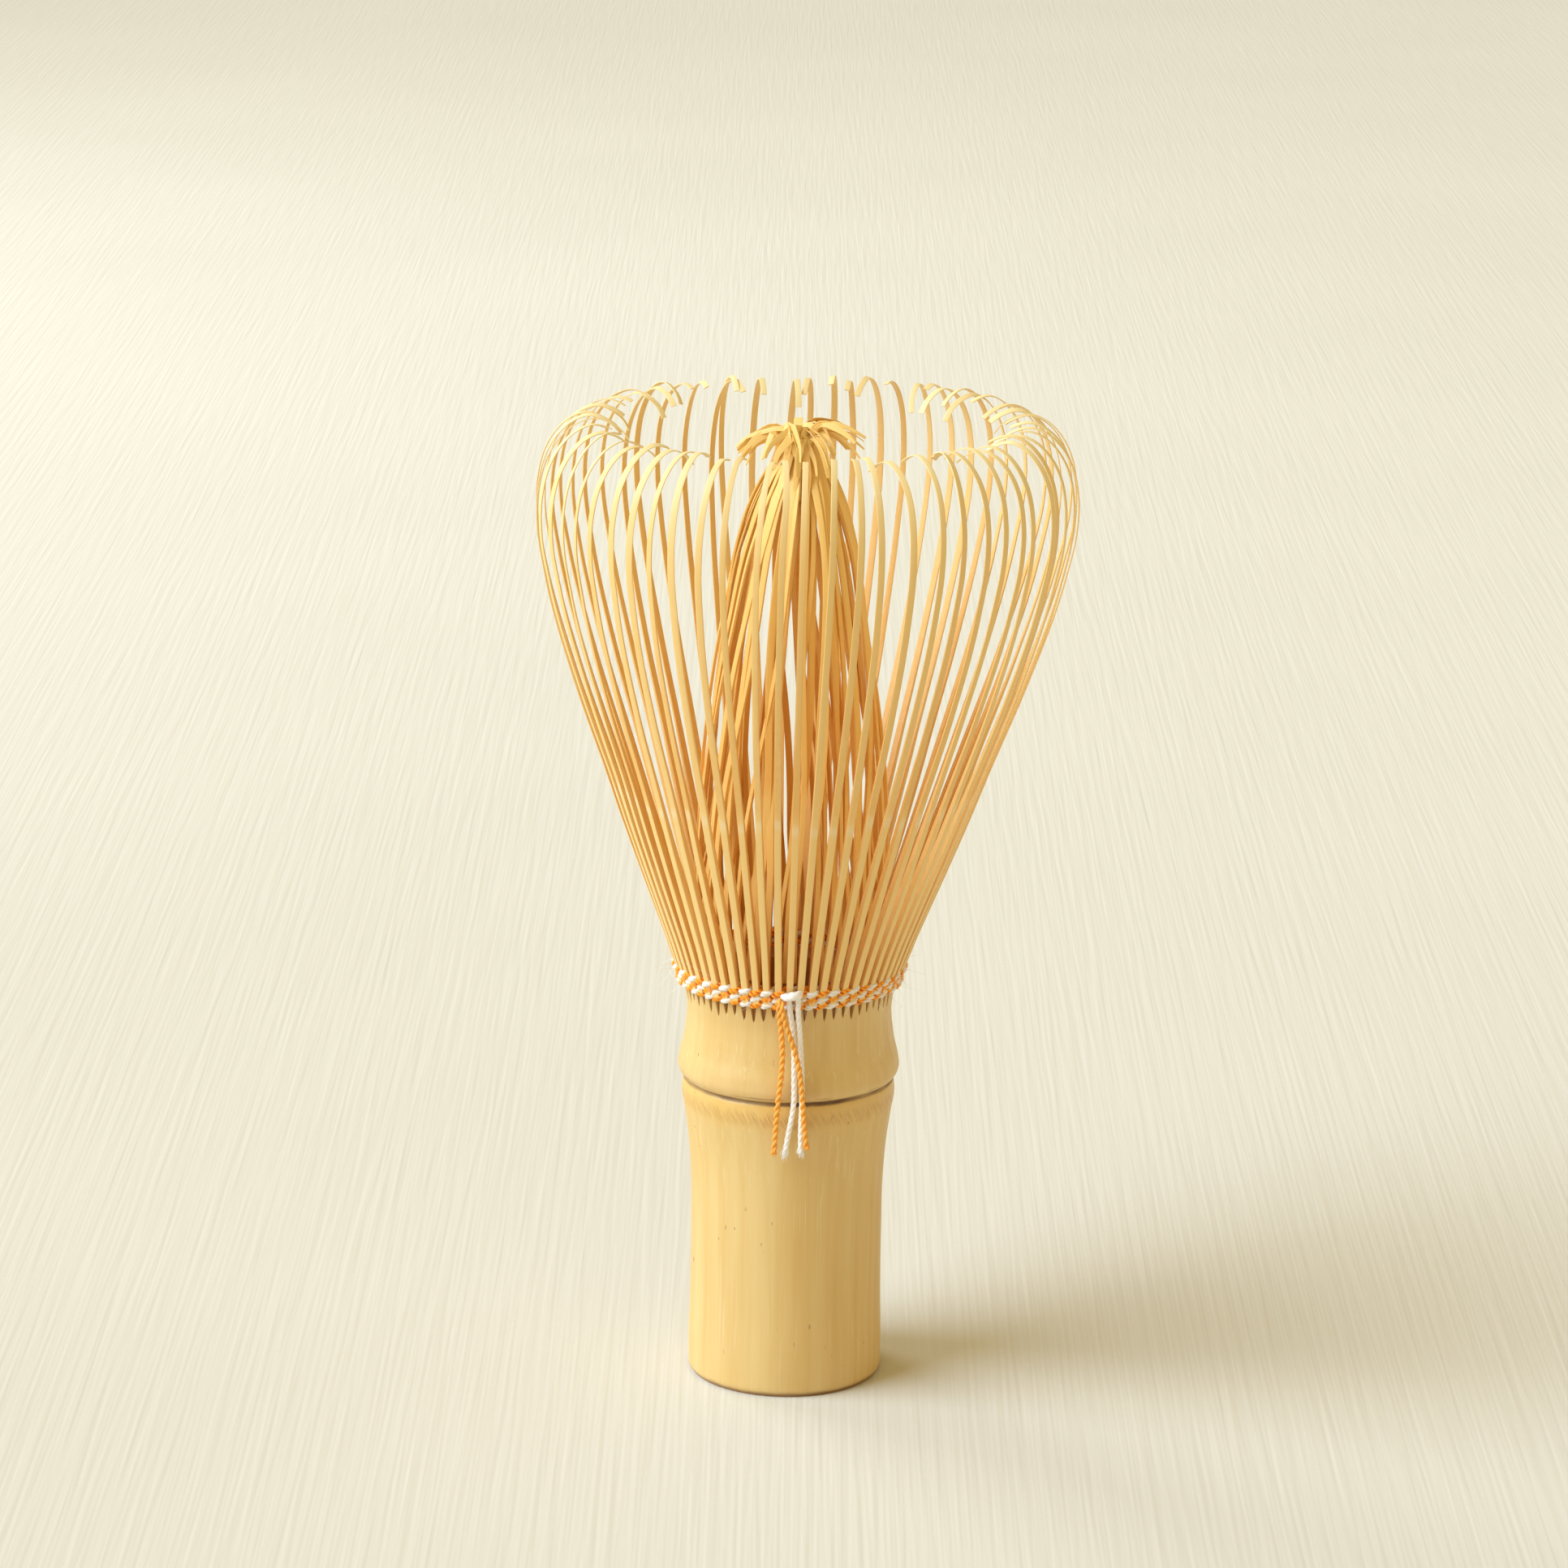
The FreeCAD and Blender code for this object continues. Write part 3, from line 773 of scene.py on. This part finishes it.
@dataclass
class TineSection:
    """Cross-section of a tine: a slightly crowned outer face over a squared body."""

    shape: Sequence[tuple[float, float, float]] = (
        (-1.0, 0.10, 0.35), (-0.88, 0.0, 1.0), (-0.3, -0.02, 1.0), (0.3, -0.02, 1.0), (0.88, 0.0, 1.0),
        (1.0, 0.10, 0.35), (1.0, 0.88, 0.0), (0.84, 1.0, 0.0), (-0.84, 1.0, 0.0), (-1.0, 0.88, 0.0),
    )

    def rings(self, path: Array, side: Array, width: Array, depth: Array,
              twist: Array) -> Array:
        """Sweep the section along a path.

        Args:
            path: middle of the tine's inner face.
            side: direction across the tine at its root.
            width: full width at each point.
            depth: thickness at each point.
            twist: turn of the section at each point, in radians.

        Returns:
            The rings of the tine's shell.
        """
        sides, outward = turn_frames(path, side)
        cosine, sine = np.cos(twist)[:, None], np.sin(twist)[:, None]
        across = sides * cosine + outward * sine
        away = outward * cosine - sides * sine
        shape = np.array(self.shape)
        lateral = across[:, None] * (shape[None, :, 0, None] * width[:, None, None] / 2)
        radial = away[:, None] * ((1 - shape[None, :, 1, None]) * depth[:, None, None])
        return path[:, None] + lateral + radial

    @property
    def rind(self) -> Array:
        """Return how much each point of the section belongs to the outer face."""
        return np.array(self.shape)[:, 2]


@dataclass
class TineRing(ABC):
    """A ring of tines, one object for each sector."""

    whisk: Whisk
    finish: TineFinish
    section: TineSection = field(default_factory=TineSection)

    def build(self) -> None:
        """Build one object for each sector."""
        material = self.finish.material()
        layer = self.finish.cut.value
        slot = "bamboo_%s_tines" % layer
        for sector in range(self.whisk.tines // self.whisk.group):
            skin = Skin()
            for number in range(self.whisk.group):
                self.add_tine(skin, sector * self.whisk.group + number)
            label = "%02d" % (sector + 1)
            piece = skin.made("%s_tine_sector_%s" % (layer, label), material, crease=32)
            settle(piece, self.body(label), slot, "%s_tines_%s" % (layer, label))

    @abstractmethod
    def body(self, label: str) -> str:
        """Return the name of the body that a sector rides on."""

    @abstractmethod
    def add_tine(self, skin: Skin, index: int) -> None:
        """Add one tine to a skin, counted round from the front."""


@dataclass
class OuterTines(TineRing):
    """The springy outer tines; each sector flexes on its own."""

    profile: Outline = (
        (12.6, 48.9), (12.65, 50.0), (12.92, 51.0), (13.45, 52.7), (15.35, 57.6), (17.4, 62.6),
        (22.25, 74.8), (26.3, 85.3), (30.1, 97.6), (31.25, 103.5), (31.25, 107.7), (30.4, 111.2),
        (29.1, 113.4), (27.5, 114.85), (25.7, 115.5), (24.0, 115.1), (22.6, 114.2), (21.7, 112.9),
    )
    width_at_z: Outline = (
        (49, 0.74), (52, 0.80), (60, 0.81), (72, 0.79), (90, 0.75), (106, 0.74), (116, 0.70),
    )
    depth_along: Outline = (
        (0.0, 0.8), (0.05, 0.98), (0.13, 0.9), (0.28, 0.66), (0.36, 0.44), (0.5, 0.27), (0.7, 0.17),
        (1.0, 0.11),
    )
    stations: int = 78
    trimmed: int = 8
    crowding: float = 1.25
    seed: int = 29

    def body(self, label: str) -> str:
        """Return the body of one sector."""
        return "outer_sector_" + label

    def add_tine(self, skin: Skin, index: int) -> None:
        """Add one tine, with the small differences that hand shaving leaves."""
        draw = random.Random(self.seed + index)
        keep = self.stations + round(self.trimmed * draw.uniform(0.0, 1.0))
        longest = self.stations + self.trimmed
        flat = smooth_line(self.profile, longest, self.crowding)[:keep]
        share = 1 - (1 - np.linspace(0, 1, longest)[:keep]) ** self.crowding
        late = np.clip((share - 0.1) / 0.9, 0, 1)
        radius = flat[:, 0] + draw.uniform(-0.9, 0.35) * late**2
        radius = radius + 0.25 * np.sin(late * 5 + draw.uniform(0, 6)) * late
        z = flat[:, 1] + draw.uniform(-0.8, 0.1) * late**3
        drift = draw.gauss(0, 0.55) * late**1.6 + 0.22 * np.sin(late * 4 + draw.uniform(0, 6)) * late
        hook = np.clip((share - 0.84) / 0.16, 0, 1)
        drift = drift + draw.gauss(0, 0.8) * hook**1.7
        angle = self.whisk.front + index * self.whisk.pitch + math.radians(draw.gauss(0, 0.12))
        side = np.array([-math.sin(angle), math.cos(angle), 0.0])
        path = self.whisk.leant(polar(radius, angle, z) + side * drift[:, None])
        width = read_off(self.width_at_z, z) * draw.uniform(0.92, 1.12) * (1 - 0.1 * hook)
        depth = read_off(self.depth_along, share)
        twist = draw.gauss(0, 0.16) * late + draw.gauss(0, 0.14) * hook
        rings = self.section.rings(path, side, width, depth, twist)
        skin.shell(rings, along=share[:, None], tone=draw.random(), rind=self.section.rind[None, :])


@dataclass
class InnerTines(TineRing):
    """The inner tines: a slanting bundle drawn to a neck, with a curled tuft on top.

    Each lock of the tuft has a direction in degrees, a reach, the height of its crest and the drop
    from there to its tip.
    """

    profile: Outline = (
        (10.35, 50.75), (10.45, 53.0), (10.8, 59.0), (10.6, 68.5), (9.75, 79.0), (8.5, 91.0), (7.0, 101.0),
        (5.3, 106.4), (4.3, 108.4),
    )
    width_along: Outline = ((0, 0.52), (0.3, 0.66), (0.7, 0.66), (0.84, 0.84), (0.95, 0.8), (1.0, 0.3))
    depth_along: Outline = ((0, 0.6), (0.3, 0.42), (0.7, 0.26), (0.85, 0.14), (1.0, 0.09))
    locks: Sequence[tuple[float, float, float, float]] = (
        (5, 7.4, 114.4, 2.4), (35, 6.6, 114.3, 1.8), (80, 5.8, 114.0, 1.6), (125, 6.2, 114.0, 2.0),
        (168, 7.0, 114.0, 2.2), (196, 7.2, 113.8, 3.4), (240, 5.4, 114.0, 4.8), (268, 4.6, 114.4, 5.4),
        (255, 3.8, 113.7, 6.4), (288, 4.2, 114.0, 6.8), (310, 6.0, 114.5, 3.6), (340, 7.6, 114.8, 2.6),
    )
    crossing_share: float = 0.3
    twist: float = math.radians(26)
    lean: float = 0.2
    lowest_z: float = 50.85
    tuft_z: float = 100.0
    tuft_height: float = 14.0
    stations: int = 60
    tuft_stations: int = 26
    seed: int = 71

    def body(self, label: str) -> str:
        """Return the body that all sectors share."""
        return "inner_bundle"

    def add_tine(self, skin: Skin, index: int) -> None:
        """Add one tine from its root through the neck to its curled tip."""
        draw = random.Random(self.seed + index)
        flat = smooth_line(self.profile, self.stations)
        share = np.linspace(0, 1, self.stations)
        sunk = draw.choice((0.0, 0.0, 0.35, 0.9, 1.7)) * draw.uniform(0.7, 1.3)
        ease = np.clip(share / 0.25, 0, 1) ** 2
        radius = flat[:, 0] - sunk * ease + 0.3 * np.sin(share * 7 + draw.uniform(0, 6)) * ease
        radius = np.maximum(radius * (1 - 0.25 * draw.random() * share**4), 0.8)
        start = self.whisk.front + (index + 0.5) * self.whisk.pitch
        swing = self.twist * draw.uniform(0.1, 1.5) * share**1.3
        wave = 0.035 * np.sin(share * 9 + draw.uniform(0, 6)) * ease
        stem = polar(radius, start + swing + wave, flat[:, 1])
        tuft = self._tuft(draw, stem[-1], start + float(swing[-1]) + math.radians(draw.gauss(0, 14)))
        path = smooth_line(np.vstack([stem[:-1], tuft])[::2], self.stations + self.tuft_stations)
        path[:, 0] += self.lean * np.clip((path[:, 2] - 60) / 50, 0, 1)
        side = np.array([-math.sin(start), math.cos(start), 0.0])
        along = np.linspace(0, 1, len(path))
        late = np.clip((along - 0.82) / 0.18, 0, 1)
        width = read_off(self.width_along, along) * draw.uniform(0.7, 1.35)
        depth = read_off(self.depth_along, along)
        twist = draw.gauss(0, 0.5) * along**1.5 + draw.gauss(0, 0.3) * late
        rings = self.section.rings(path, side, width, depth, twist)
        rings[..., 2] = np.maximum(rings[..., 2], self.lowest_z)
        # painted shade: tines sunk deeper into the bundle get a higher tone, so a deeper colour; the rest of
        # the tone is random
        tone = min(1.0, 0.25 + 0.5 * draw.random() + 0.25 * (sunk > 0.3))
        up_tuft = np.clip((path[:, 2, None] - self.tuft_z) / self.tuft_height, 0, 1)
        skin.shell(rings, along=up_tuft, tone=tone, rind=self.section.rind[None, :])

    def _tuft(self, draw: random.Random, neck: Array, angle: float) -> Array:
        """Return the curled end of a tine above the neck.

        Args:
            draw: the tine's own random numbers.
            neck: where the tine passes the neck.
            angle: direction that the tine comes from, in radians.

        Returns:
            Points from the neck to the tip.
        """
        crossing = draw.random() < self.crossing_share
        heading = angle + math.pi if crossing else angle
        number = round((heading / (math.tau)) % 1 * len(self.locks)) % len(self.locks)
        direction, reach, crest, drop = self.locks[number]
        towards = math.radians(direction + draw.gauss(0, 11))
        reach = reach * draw.uniform(0.8, 1.08)
        crest = crest + draw.uniform(-1.3, 0.5) + (0.5 if crossing else 0.0)
        drop = drop * draw.uniform(0.55, 1.15)
        across = np.array([math.cos(towards), math.sin(towards), 0.0])
        sway = np.array([-math.sin(towards), math.cos(towards), 0.0]) * draw.gauss(0, 0.55)
        middle = neck * (1, 1, 0)
        points = [
            neck,
            middle * 0.62 + across * 0.25 + (0, 0, 110.9),
            middle * 0.42 + across * 0.9 + sway * 0.2 + (0, 0, crest - 0.9),
            middle * 0.28 + across * 2.3 + sway * 0.5 + (0, 0, crest),
            middle * 0.16 + across * (0.66 * reach) + sway * 0.9 + (0, 0, crest - 0.22 * drop),
            across * (0.88 * reach) + sway * 1.4 + (0, 0, crest - 0.6 * drop),
            across * reach + sway * 1.7 + (0, 0, crest - drop),
        ]
        return smooth_line(points, 36)


@dataclass
class Binding:
    """Three rows of two strands, twined round the outer tines."""

    whisk: Whisk
    rows: int = 3
    first_row_z: float = 48.72
    row_pitch: float = 0.79
    front_radius: Place = (13.1, 13.22, 13.55)
    back_radius: float = 11.75
    slant: float = 0.16
    plump: float = 1.14
    samples: int = 14
    overlap: float = 0.05
    seed: int = 5

    def strand(self, row: int, dye: Dye) -> Array:
        """Return the centreline of one strand in one row.

        Args:
            row: row number, from the bottom.
            dye: which of the two threads.

        Returns:
            Points round the culm, the last beside the first.
        """
        draw = random.Random(self.seed + 10 * row + dye.value)
        turns = np.arange(self.whisk.tines * self.samples) / self.samples
        phase = math.pi * (turns + row + dye.value)
        outside = np.clip(0.5 + 0.72 * np.cos(phase), 0, 1)
        outside = outside * outside * (3 - 2 * outside)
        radius = self.back_radius + (self.front_radius[row] - self.back_radius) * outside
        uneven = np.interp(turns % self.whisk.tines, np.arange(self.whisk.tines + 1),
                           [draw.gauss(0, 0.035) for _ in range(self.whisk.tines)] + [0.0])
        z = self.first_row_z + row * self.row_pitch + self.slant * np.sin(phase) + uneven
        return polar(radius, self.whisk.front + turns * self.whisk.pitch, z)

    def build(self) -> None:
        """Build one object for each row and thread."""
        for dye in Dye:
            material = THREAD_FINISH[dye].material()
            for row in range(self.rows):
                path = self.strand(row, dye)
                path = np.vstack([path, path[:1] + (path[1] - path[0]) * self.overlap])
                skin = Skin()
                Rope(dye, self.plump, taut=True).add(skin, path)
                piece = skin.made("%s_binding_row_%d" % (dye.word, row + 1), material)
                settle(piece, "culm", dye.slot, "%s_thread_row_%d" % (dye.word, row + 1))


@dataclass
class Rope:
    """A thread twisted from its plies."""

    dye: Dye
    plump: float = 1.0
    taut: bool = False
    step: float = 0.085

    @property
    def shape(self) -> tuple[float, float, float]:
        """Return ply radius, ply offset and lay length."""
        if self.dye is Dye.ORANGE:
            return 0.185 * self.plump, 0.165 * self.plump, 1.0 if self.taut else 1.87
        return 0.215 * self.plump, 0.12 * self.plump, 2.6

    @property
    def radius(self) -> float:
        """Return the thread's outside radius."""
        return self.shape[0] + self.shape[1]

    def add(self, skin: Skin, path: Array, flare: float = 0.0) -> None:
        """Add the thread's plies along a path.

        Args:
            skin: where the shells go.
            path: centreline.
            flare: how much the plies spread at both ends.
        """
        ply_radius, offset, lay = self.shape
        length = float(np.linalg.norm(np.diff(path, axis=0), axis=1).sum())
        line = smooth_line(path, max(8, round(length / self.step)))
        first = np.cross(line[1] - line[0], (0.2, 0.9, 0.1))
        sides, normals = turn_frames(line, first)
        travelled = np.linspace(0, length, len(line))
        from_end = np.minimum(travelled, length - travelled)
        spread = offset * (1 + flare * np.clip(1 - from_end / 1.4, 0, 1) ** 2)
        for ply in range(self.dye.plies):
            turn = math.tau * (ply / self.dye.plies - travelled / lay)
            away = sides * np.cos(turn)[:, None] + normals * np.sin(turn)[:, None]
            core = line + away * spread[:, None]
            rings = tube_rings(core, ply_radius, 9)
            outward = ((rings - line[:, None]) ** 2).sum(axis=-1) ** 0.5
            groove = np.clip((self.radius - outward) / (0.8 * self.radius), 0, 1)
            skin.shell(rings, groove=groove)


@dataclass
class ThreadEnds:
    """Both free ends of a thread and the fold that knots them."""

    dye: Dye
    route: Route
    knot: Place
    length: float
    fibre_radius: tuple[float, float] = (0.035, 0.012)
    seed: int = 3

    def centreline(self) -> Array:
        """Return points, in metres, of the smooth line that follows the route."""
        curve = bpy.data.curves.new("route", "CURVE")
        curve.dimensions = "3D"
        spline = curve.splines.new("NURBS")
        spline.points.add(len(self.route) - 1)
        for point, place in zip(spline.points, self.route):
            point.co = (*(Vector(place) * MM), 1.0)
        spline.order_u = 3
        spline.use_endpoint_u = True
        spline.resolution_u = 12
        holder = linked("route", curve)
        bpy.context.view_layer.update()
        graph = bpy.context.evaluated_depsgraph_get()
        mesh = bpy.data.meshes.new_from_object(holder.evaluated_get(graph))
        points = np.array([vertex.co[:] for vertex in mesh.vertices])
        bpy.data.objects.remove(holder)
        bpy.data.curves.remove(curve)
        bpy.data.meshes.remove(mesh)
        return points

    def build(self) -> None:
        """Build the thread's ends and the fibres at their tips."""
        points = self.centreline()
        material = bpy.data.materials[self.dye.slot]
        skin = Skin()
        rope = Rope(self.dye)
        rope.add(skin, points / MM, flare=0.35 if self.dye is Dye.WHITE else 0.12)
        ends = skin.made(self.dye.word + "_free_ends", material)
        settle(ends, "culm", self.dye.slot, self.dye.word + "_thread_ends")
        fray = self._fray(points / MM, rope.radius, material)
        2 * rope.radius * MM

    def _fray(self, path: Array, radius: float, material: Material) -> Piece:
        """Return the short brushed fibres at both cut ends.

        Args:
            path: the thread's centreline.
            radius: the thread's outside radius.
            material: the thread's material.

        Returns:
            The fibres as one object.
        """
        draw = random.Random(self.seed + self.dye.value)
        skin = Skin()
        count, reach = (90, 1.5) if self.dye is Dye.WHITE else (40, 0.5)
        for tip, before in ((path[0], path[3]), (path[-1], path[-4])):
            away = unit(tip - before)
            for _ in range(count):
                start = tip - away * draw.uniform(0.1, 0.9)
                side = np.array([draw.gauss(0, 1), draw.gauss(0, 1), draw.gauss(0, 0.4)])
                side = unit(side) * radius * draw.uniform(0.3, 1.0)
                end = tip + away * draw.uniform(-0.1, reach * 0.45) + side * draw.uniform(1.0, 1.7)
                middle = (start + side + end) / 2 + side * 0.2
                line = smooth_line([start + side * 0.9, middle, end], 6)
                skin.shell(tube_rings(line, np.linspace(*self.fibre_radius, 6), 4), groove=0.1)
        fray = skin.made(self.dye.word + "_frayed_tips", material)
        settle(fray, "culm", self.dye.slot)
        return fray


@dataclass
class Knot:
    """The plump stitch over the front tine, under which both white ends start."""

    route: Route = ((-0.66, -13.75, 50.0), (-0.3, -14.5, 50.22), (0.24, -14.84, 50.36), (0.8, -14.66, 50.46),
                    (1.2, -13.95, 50.5))
    plump: float = 1.45

    def build(self) -> None:
        """Build the stitch."""
        skin = Skin()
        Rope(Dye.WHITE, self.plump).add(skin, smooth_line(self.route, 30))
        made = skin.made("white_knot_stitch", bpy.data.materials[Dye.WHITE.slot])
        settle(made, "culm", Dye.WHITE.slot)


@dataclass
class Fuzz:
    """Loose fibres that stand out from the threads."""

    radius: float = 13.45
    low_z: float = 48.5
    high_z: float = 50.7
    fibre_radius: tuple[float, float] = (0.014, 0.007)
    seed: int = 17

    def build(self, dye: Dye, count: int) -> None:
        """Build the fibres of one thread's binding as one object.

        Args:
            dye: which of the two threads.
            count: how many fibres.
        """
        draw = random.Random(self.seed + dye.value)
        skin = Skin()
        for _ in range(count):
            angle = draw.uniform(0, math.tau)
            start = polar(self.radius, angle, draw.uniform(self.low_z, self.high_z))
            away = polar(1.0, angle + draw.gauss(0, 0.9), draw.gauss(0, 0.9))
            length = draw.uniform(0.5, 1.5) if draw.random() < 0.9 else draw.uniform(1.6, 3.6)
            bend = np.array([draw.gauss(0, 0.35), draw.gauss(0, 0.35), draw.gauss(-0.25, 0.3)])
            line = smooth_line([start, start + away * length * 0.5, start + (away + bend) * length], 7)
            skin.shell(tube_rings(line, np.linspace(*self.fibre_radius, 7), 3), groove=0.0)
        made = skin.made(dye.word + "_loose_fibres", bpy.data.materials[dye.slot])
        settle(made, "culm", dye.slot)


ORANGE_ROUTE: Route = (
    (-1.56, -13.55, 30.90), (-1.40, -13.68, 33.40), (-1.28, -13.78, 36.20), (-0.92, -13.86, 39.40),
    (-0.66, -13.80, 42.60), (-0.84, -13.86, 45.60), (-1.16, -14.02, 47.90), (-1.24, -14.20, 49.90),
    (-0.92, -15.34, 49.80), (-0.66, -15.12, 47.90), (-0.02, -14.78, 46.00), (0.84, -14.60, 43.40),
    (1.42, -14.56, 40.60), (1.68, -14.48, 37.60), (1.90, -14.34, 34.60), (2.22, -14.16, 31.90),
)
WHITE_ROUTE: Route = (
    (-0.29, -13.46, 30.9), (0.14, -13.60, 33.8), (0.72, -13.72, 36.8), (0.66, -13.80, 40.2),
    (0.62, -13.74, 43.4), (0.45, -13.84, 46.4), (0.08, -14.10, 48.6), (-0.10, -14.22, 49.95),
    (0.08, -14.34, 50.50), (0.66, -14.36, 50.54), (1.06, -14.26, 50.05), (0.98, -14.14, 48.6),
    (1.22, -13.84, 46.2), (1.42, -13.72, 43.2), (1.60, -13.76, 40.0), (1.62, -13.70, 36.8),
    (1.50, -13.60, 33.9), (1.56, -13.46, 31.1),
)


# ---- the studio


@dataclass
class Studio:
    """Pale floor, soft light and the camera."""

    distance: float = 0.636
    height: float = 0.238
    pitch: float = math.radians(14.64)
    aside: float = -0.00097
    roll: float = math.radians(0.8)
    lens: float = 129.3
    sensor: float = 36.0
    near: float = 0.01
    far: float = 50.0
    floor_half: float = 4.0
    paper: Colour = (0.68, 0.667, 0.602)
    paper_light: Colour = (0.705, 0.692, 0.627)
    sky: Colour = (1.0, 0.755, 0.32)
    sky_strength: float = 0.535
    key_spread: float = math.radians(46)
    panel_size: tuple[float, float] = (0.5, 0.4)

    def build(self) -> None:
        """Make the floor, the lights and the camera."""
        scene = bpy.context.scene
        scene.view_settings.view_transform = "Standard"
        scene.view_settings.look = "None"
        self._floor()
        self._world(scene)
        self._lights()
        self._camera(scene)

    def _floor(self) -> None:
        """Lay the floor."""
        shader = Shader("paper_floor")
        ribs = shader.noise(1050.0, (1.0, 0.02, 1.0), detail=1.0, distortion=0.1)
        drift = shader.noise(9.0, detail=1.0)
        tone = ribs * 0.5 + drift * 0.5
        colour = shader.mix(tone.between(0.25, 0.75), self.paper, self.paper_light)
        material = shader.finish(colour, 0.9, ribs, 0.10, Specular_IOR_Level=0.1)
        mesh = bpy.data.meshes.new("floor")
        half = self.floor_half
        square = [(-half, -half, 0), (half, -half, 0), (half, half, 0), (-half, half, 0)]
        mesh.from_pydata(square, [], [(0, 1, 2, 3)])
        mesh.materials.append(material)
        linked("floor", mesh)

    def _world(self, scene: bpy.types.Scene) -> None:
        """Fill the surroundings with soft light."""
        world = bpy.data.worlds.new("surroundings")
        world.use_nodes = True
        background = world.node_tree.nodes["Background"]
        background.inputs["Color"].default_value = (*self.sky, 1.0)
        background.inputs["Strength"].default_value = self.sky_strength
        scene.world = world

    def _lights(self) -> None:
        """Set the key from the left, a panel behind it, and a weak one on the shaded side."""
        key = bpy.data.lights.new("key", "SUN")
        key.angle = self.key_spread
        self._hang(key, 3.62, (0.755, 0.865, 1.0), (-0.96, -0.33, 0.82))
        for name, energy, colour, place in (
            ("fill_left", 4.0, (0.92, 0.97, 1.0), (-0.72, 0.75, 0.5)),
            ("fill_right", 0.4, (1.0, 0.93, 0.82), (0.78, 0.05, 0.26)),
        ):
            panel = bpy.data.lights.new(name, "AREA")
            panel.shape = "RECTANGLE"
            panel.size, panel.size_y = self.panel_size
            self._hang(panel, energy, colour, place)

    @staticmethod
    def _hang(light: bpy.types.Light, energy: float, colour: Colour, place: Place) -> None:
        """Hang a light, aimed at the foot of the whisk.

        Args:
            light: the light's data.
            energy: strength, in watts or, for the key, in watts per square metre.
            colour: colour of the light.
            place: where it hangs, in metres.
        """
        light.energy = energy
        light.color = colour
        lamp = linked(light.name, light)
        lamp.location = place
        lamp.rotation_mode = "QUATERNION"
        lamp.rotation_quaternion = (-lamp.location).to_track_quat("-Z", "Y")

    def _camera(self, scene: bpy.types.Scene) -> None:
        """Place the camera."""
        data = bpy.data.cameras.new("camera")
        data.lens = self.lens
        data.sensor_width = self.sensor
        data.clip_start = self.near
        data.clip_end = self.far
        camera = linked("camera", data)
        camera.location = (self.aside, -self.distance, self.height)
        camera.rotation_mode = "QUATERNION"
        tilt = Quaternion((1, 0, 0), math.pi / 2 - self.pitch)
        camera.rotation_quaternion = tilt @ Quaternion((0, 0, 1), self.roll)
        scene.camera = camera


def main() -> None:
    """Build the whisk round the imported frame."""
    logging.basicConfig(level=logging.INFO, format="%(name)s %(message)s")
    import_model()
    whisk = Whisk()
    Culm(whisk, CulmFinish()).build()
    OuterTines(whisk, OUTER_FINISH).build()
    InnerTines(whisk, INNER_FINISH).build()
    Binding(whisk).build()
    ThreadEnds(Dye.ORANGE, ORANGE_ROUTE, (-1.1, -14.2, 49.8), 38.0).build()
    ThreadEnds(Dye.WHITE, WHITE_ROUTE, (0.3, -14.35, 50.5), 40.0).build()
    Knot().build()
    Fuzz().build(Dye.WHITE, 150)
    Fuzz().build(Dye.ORANGE, 60)
    Studio().build()


if __name__ == "__main__":
    main()
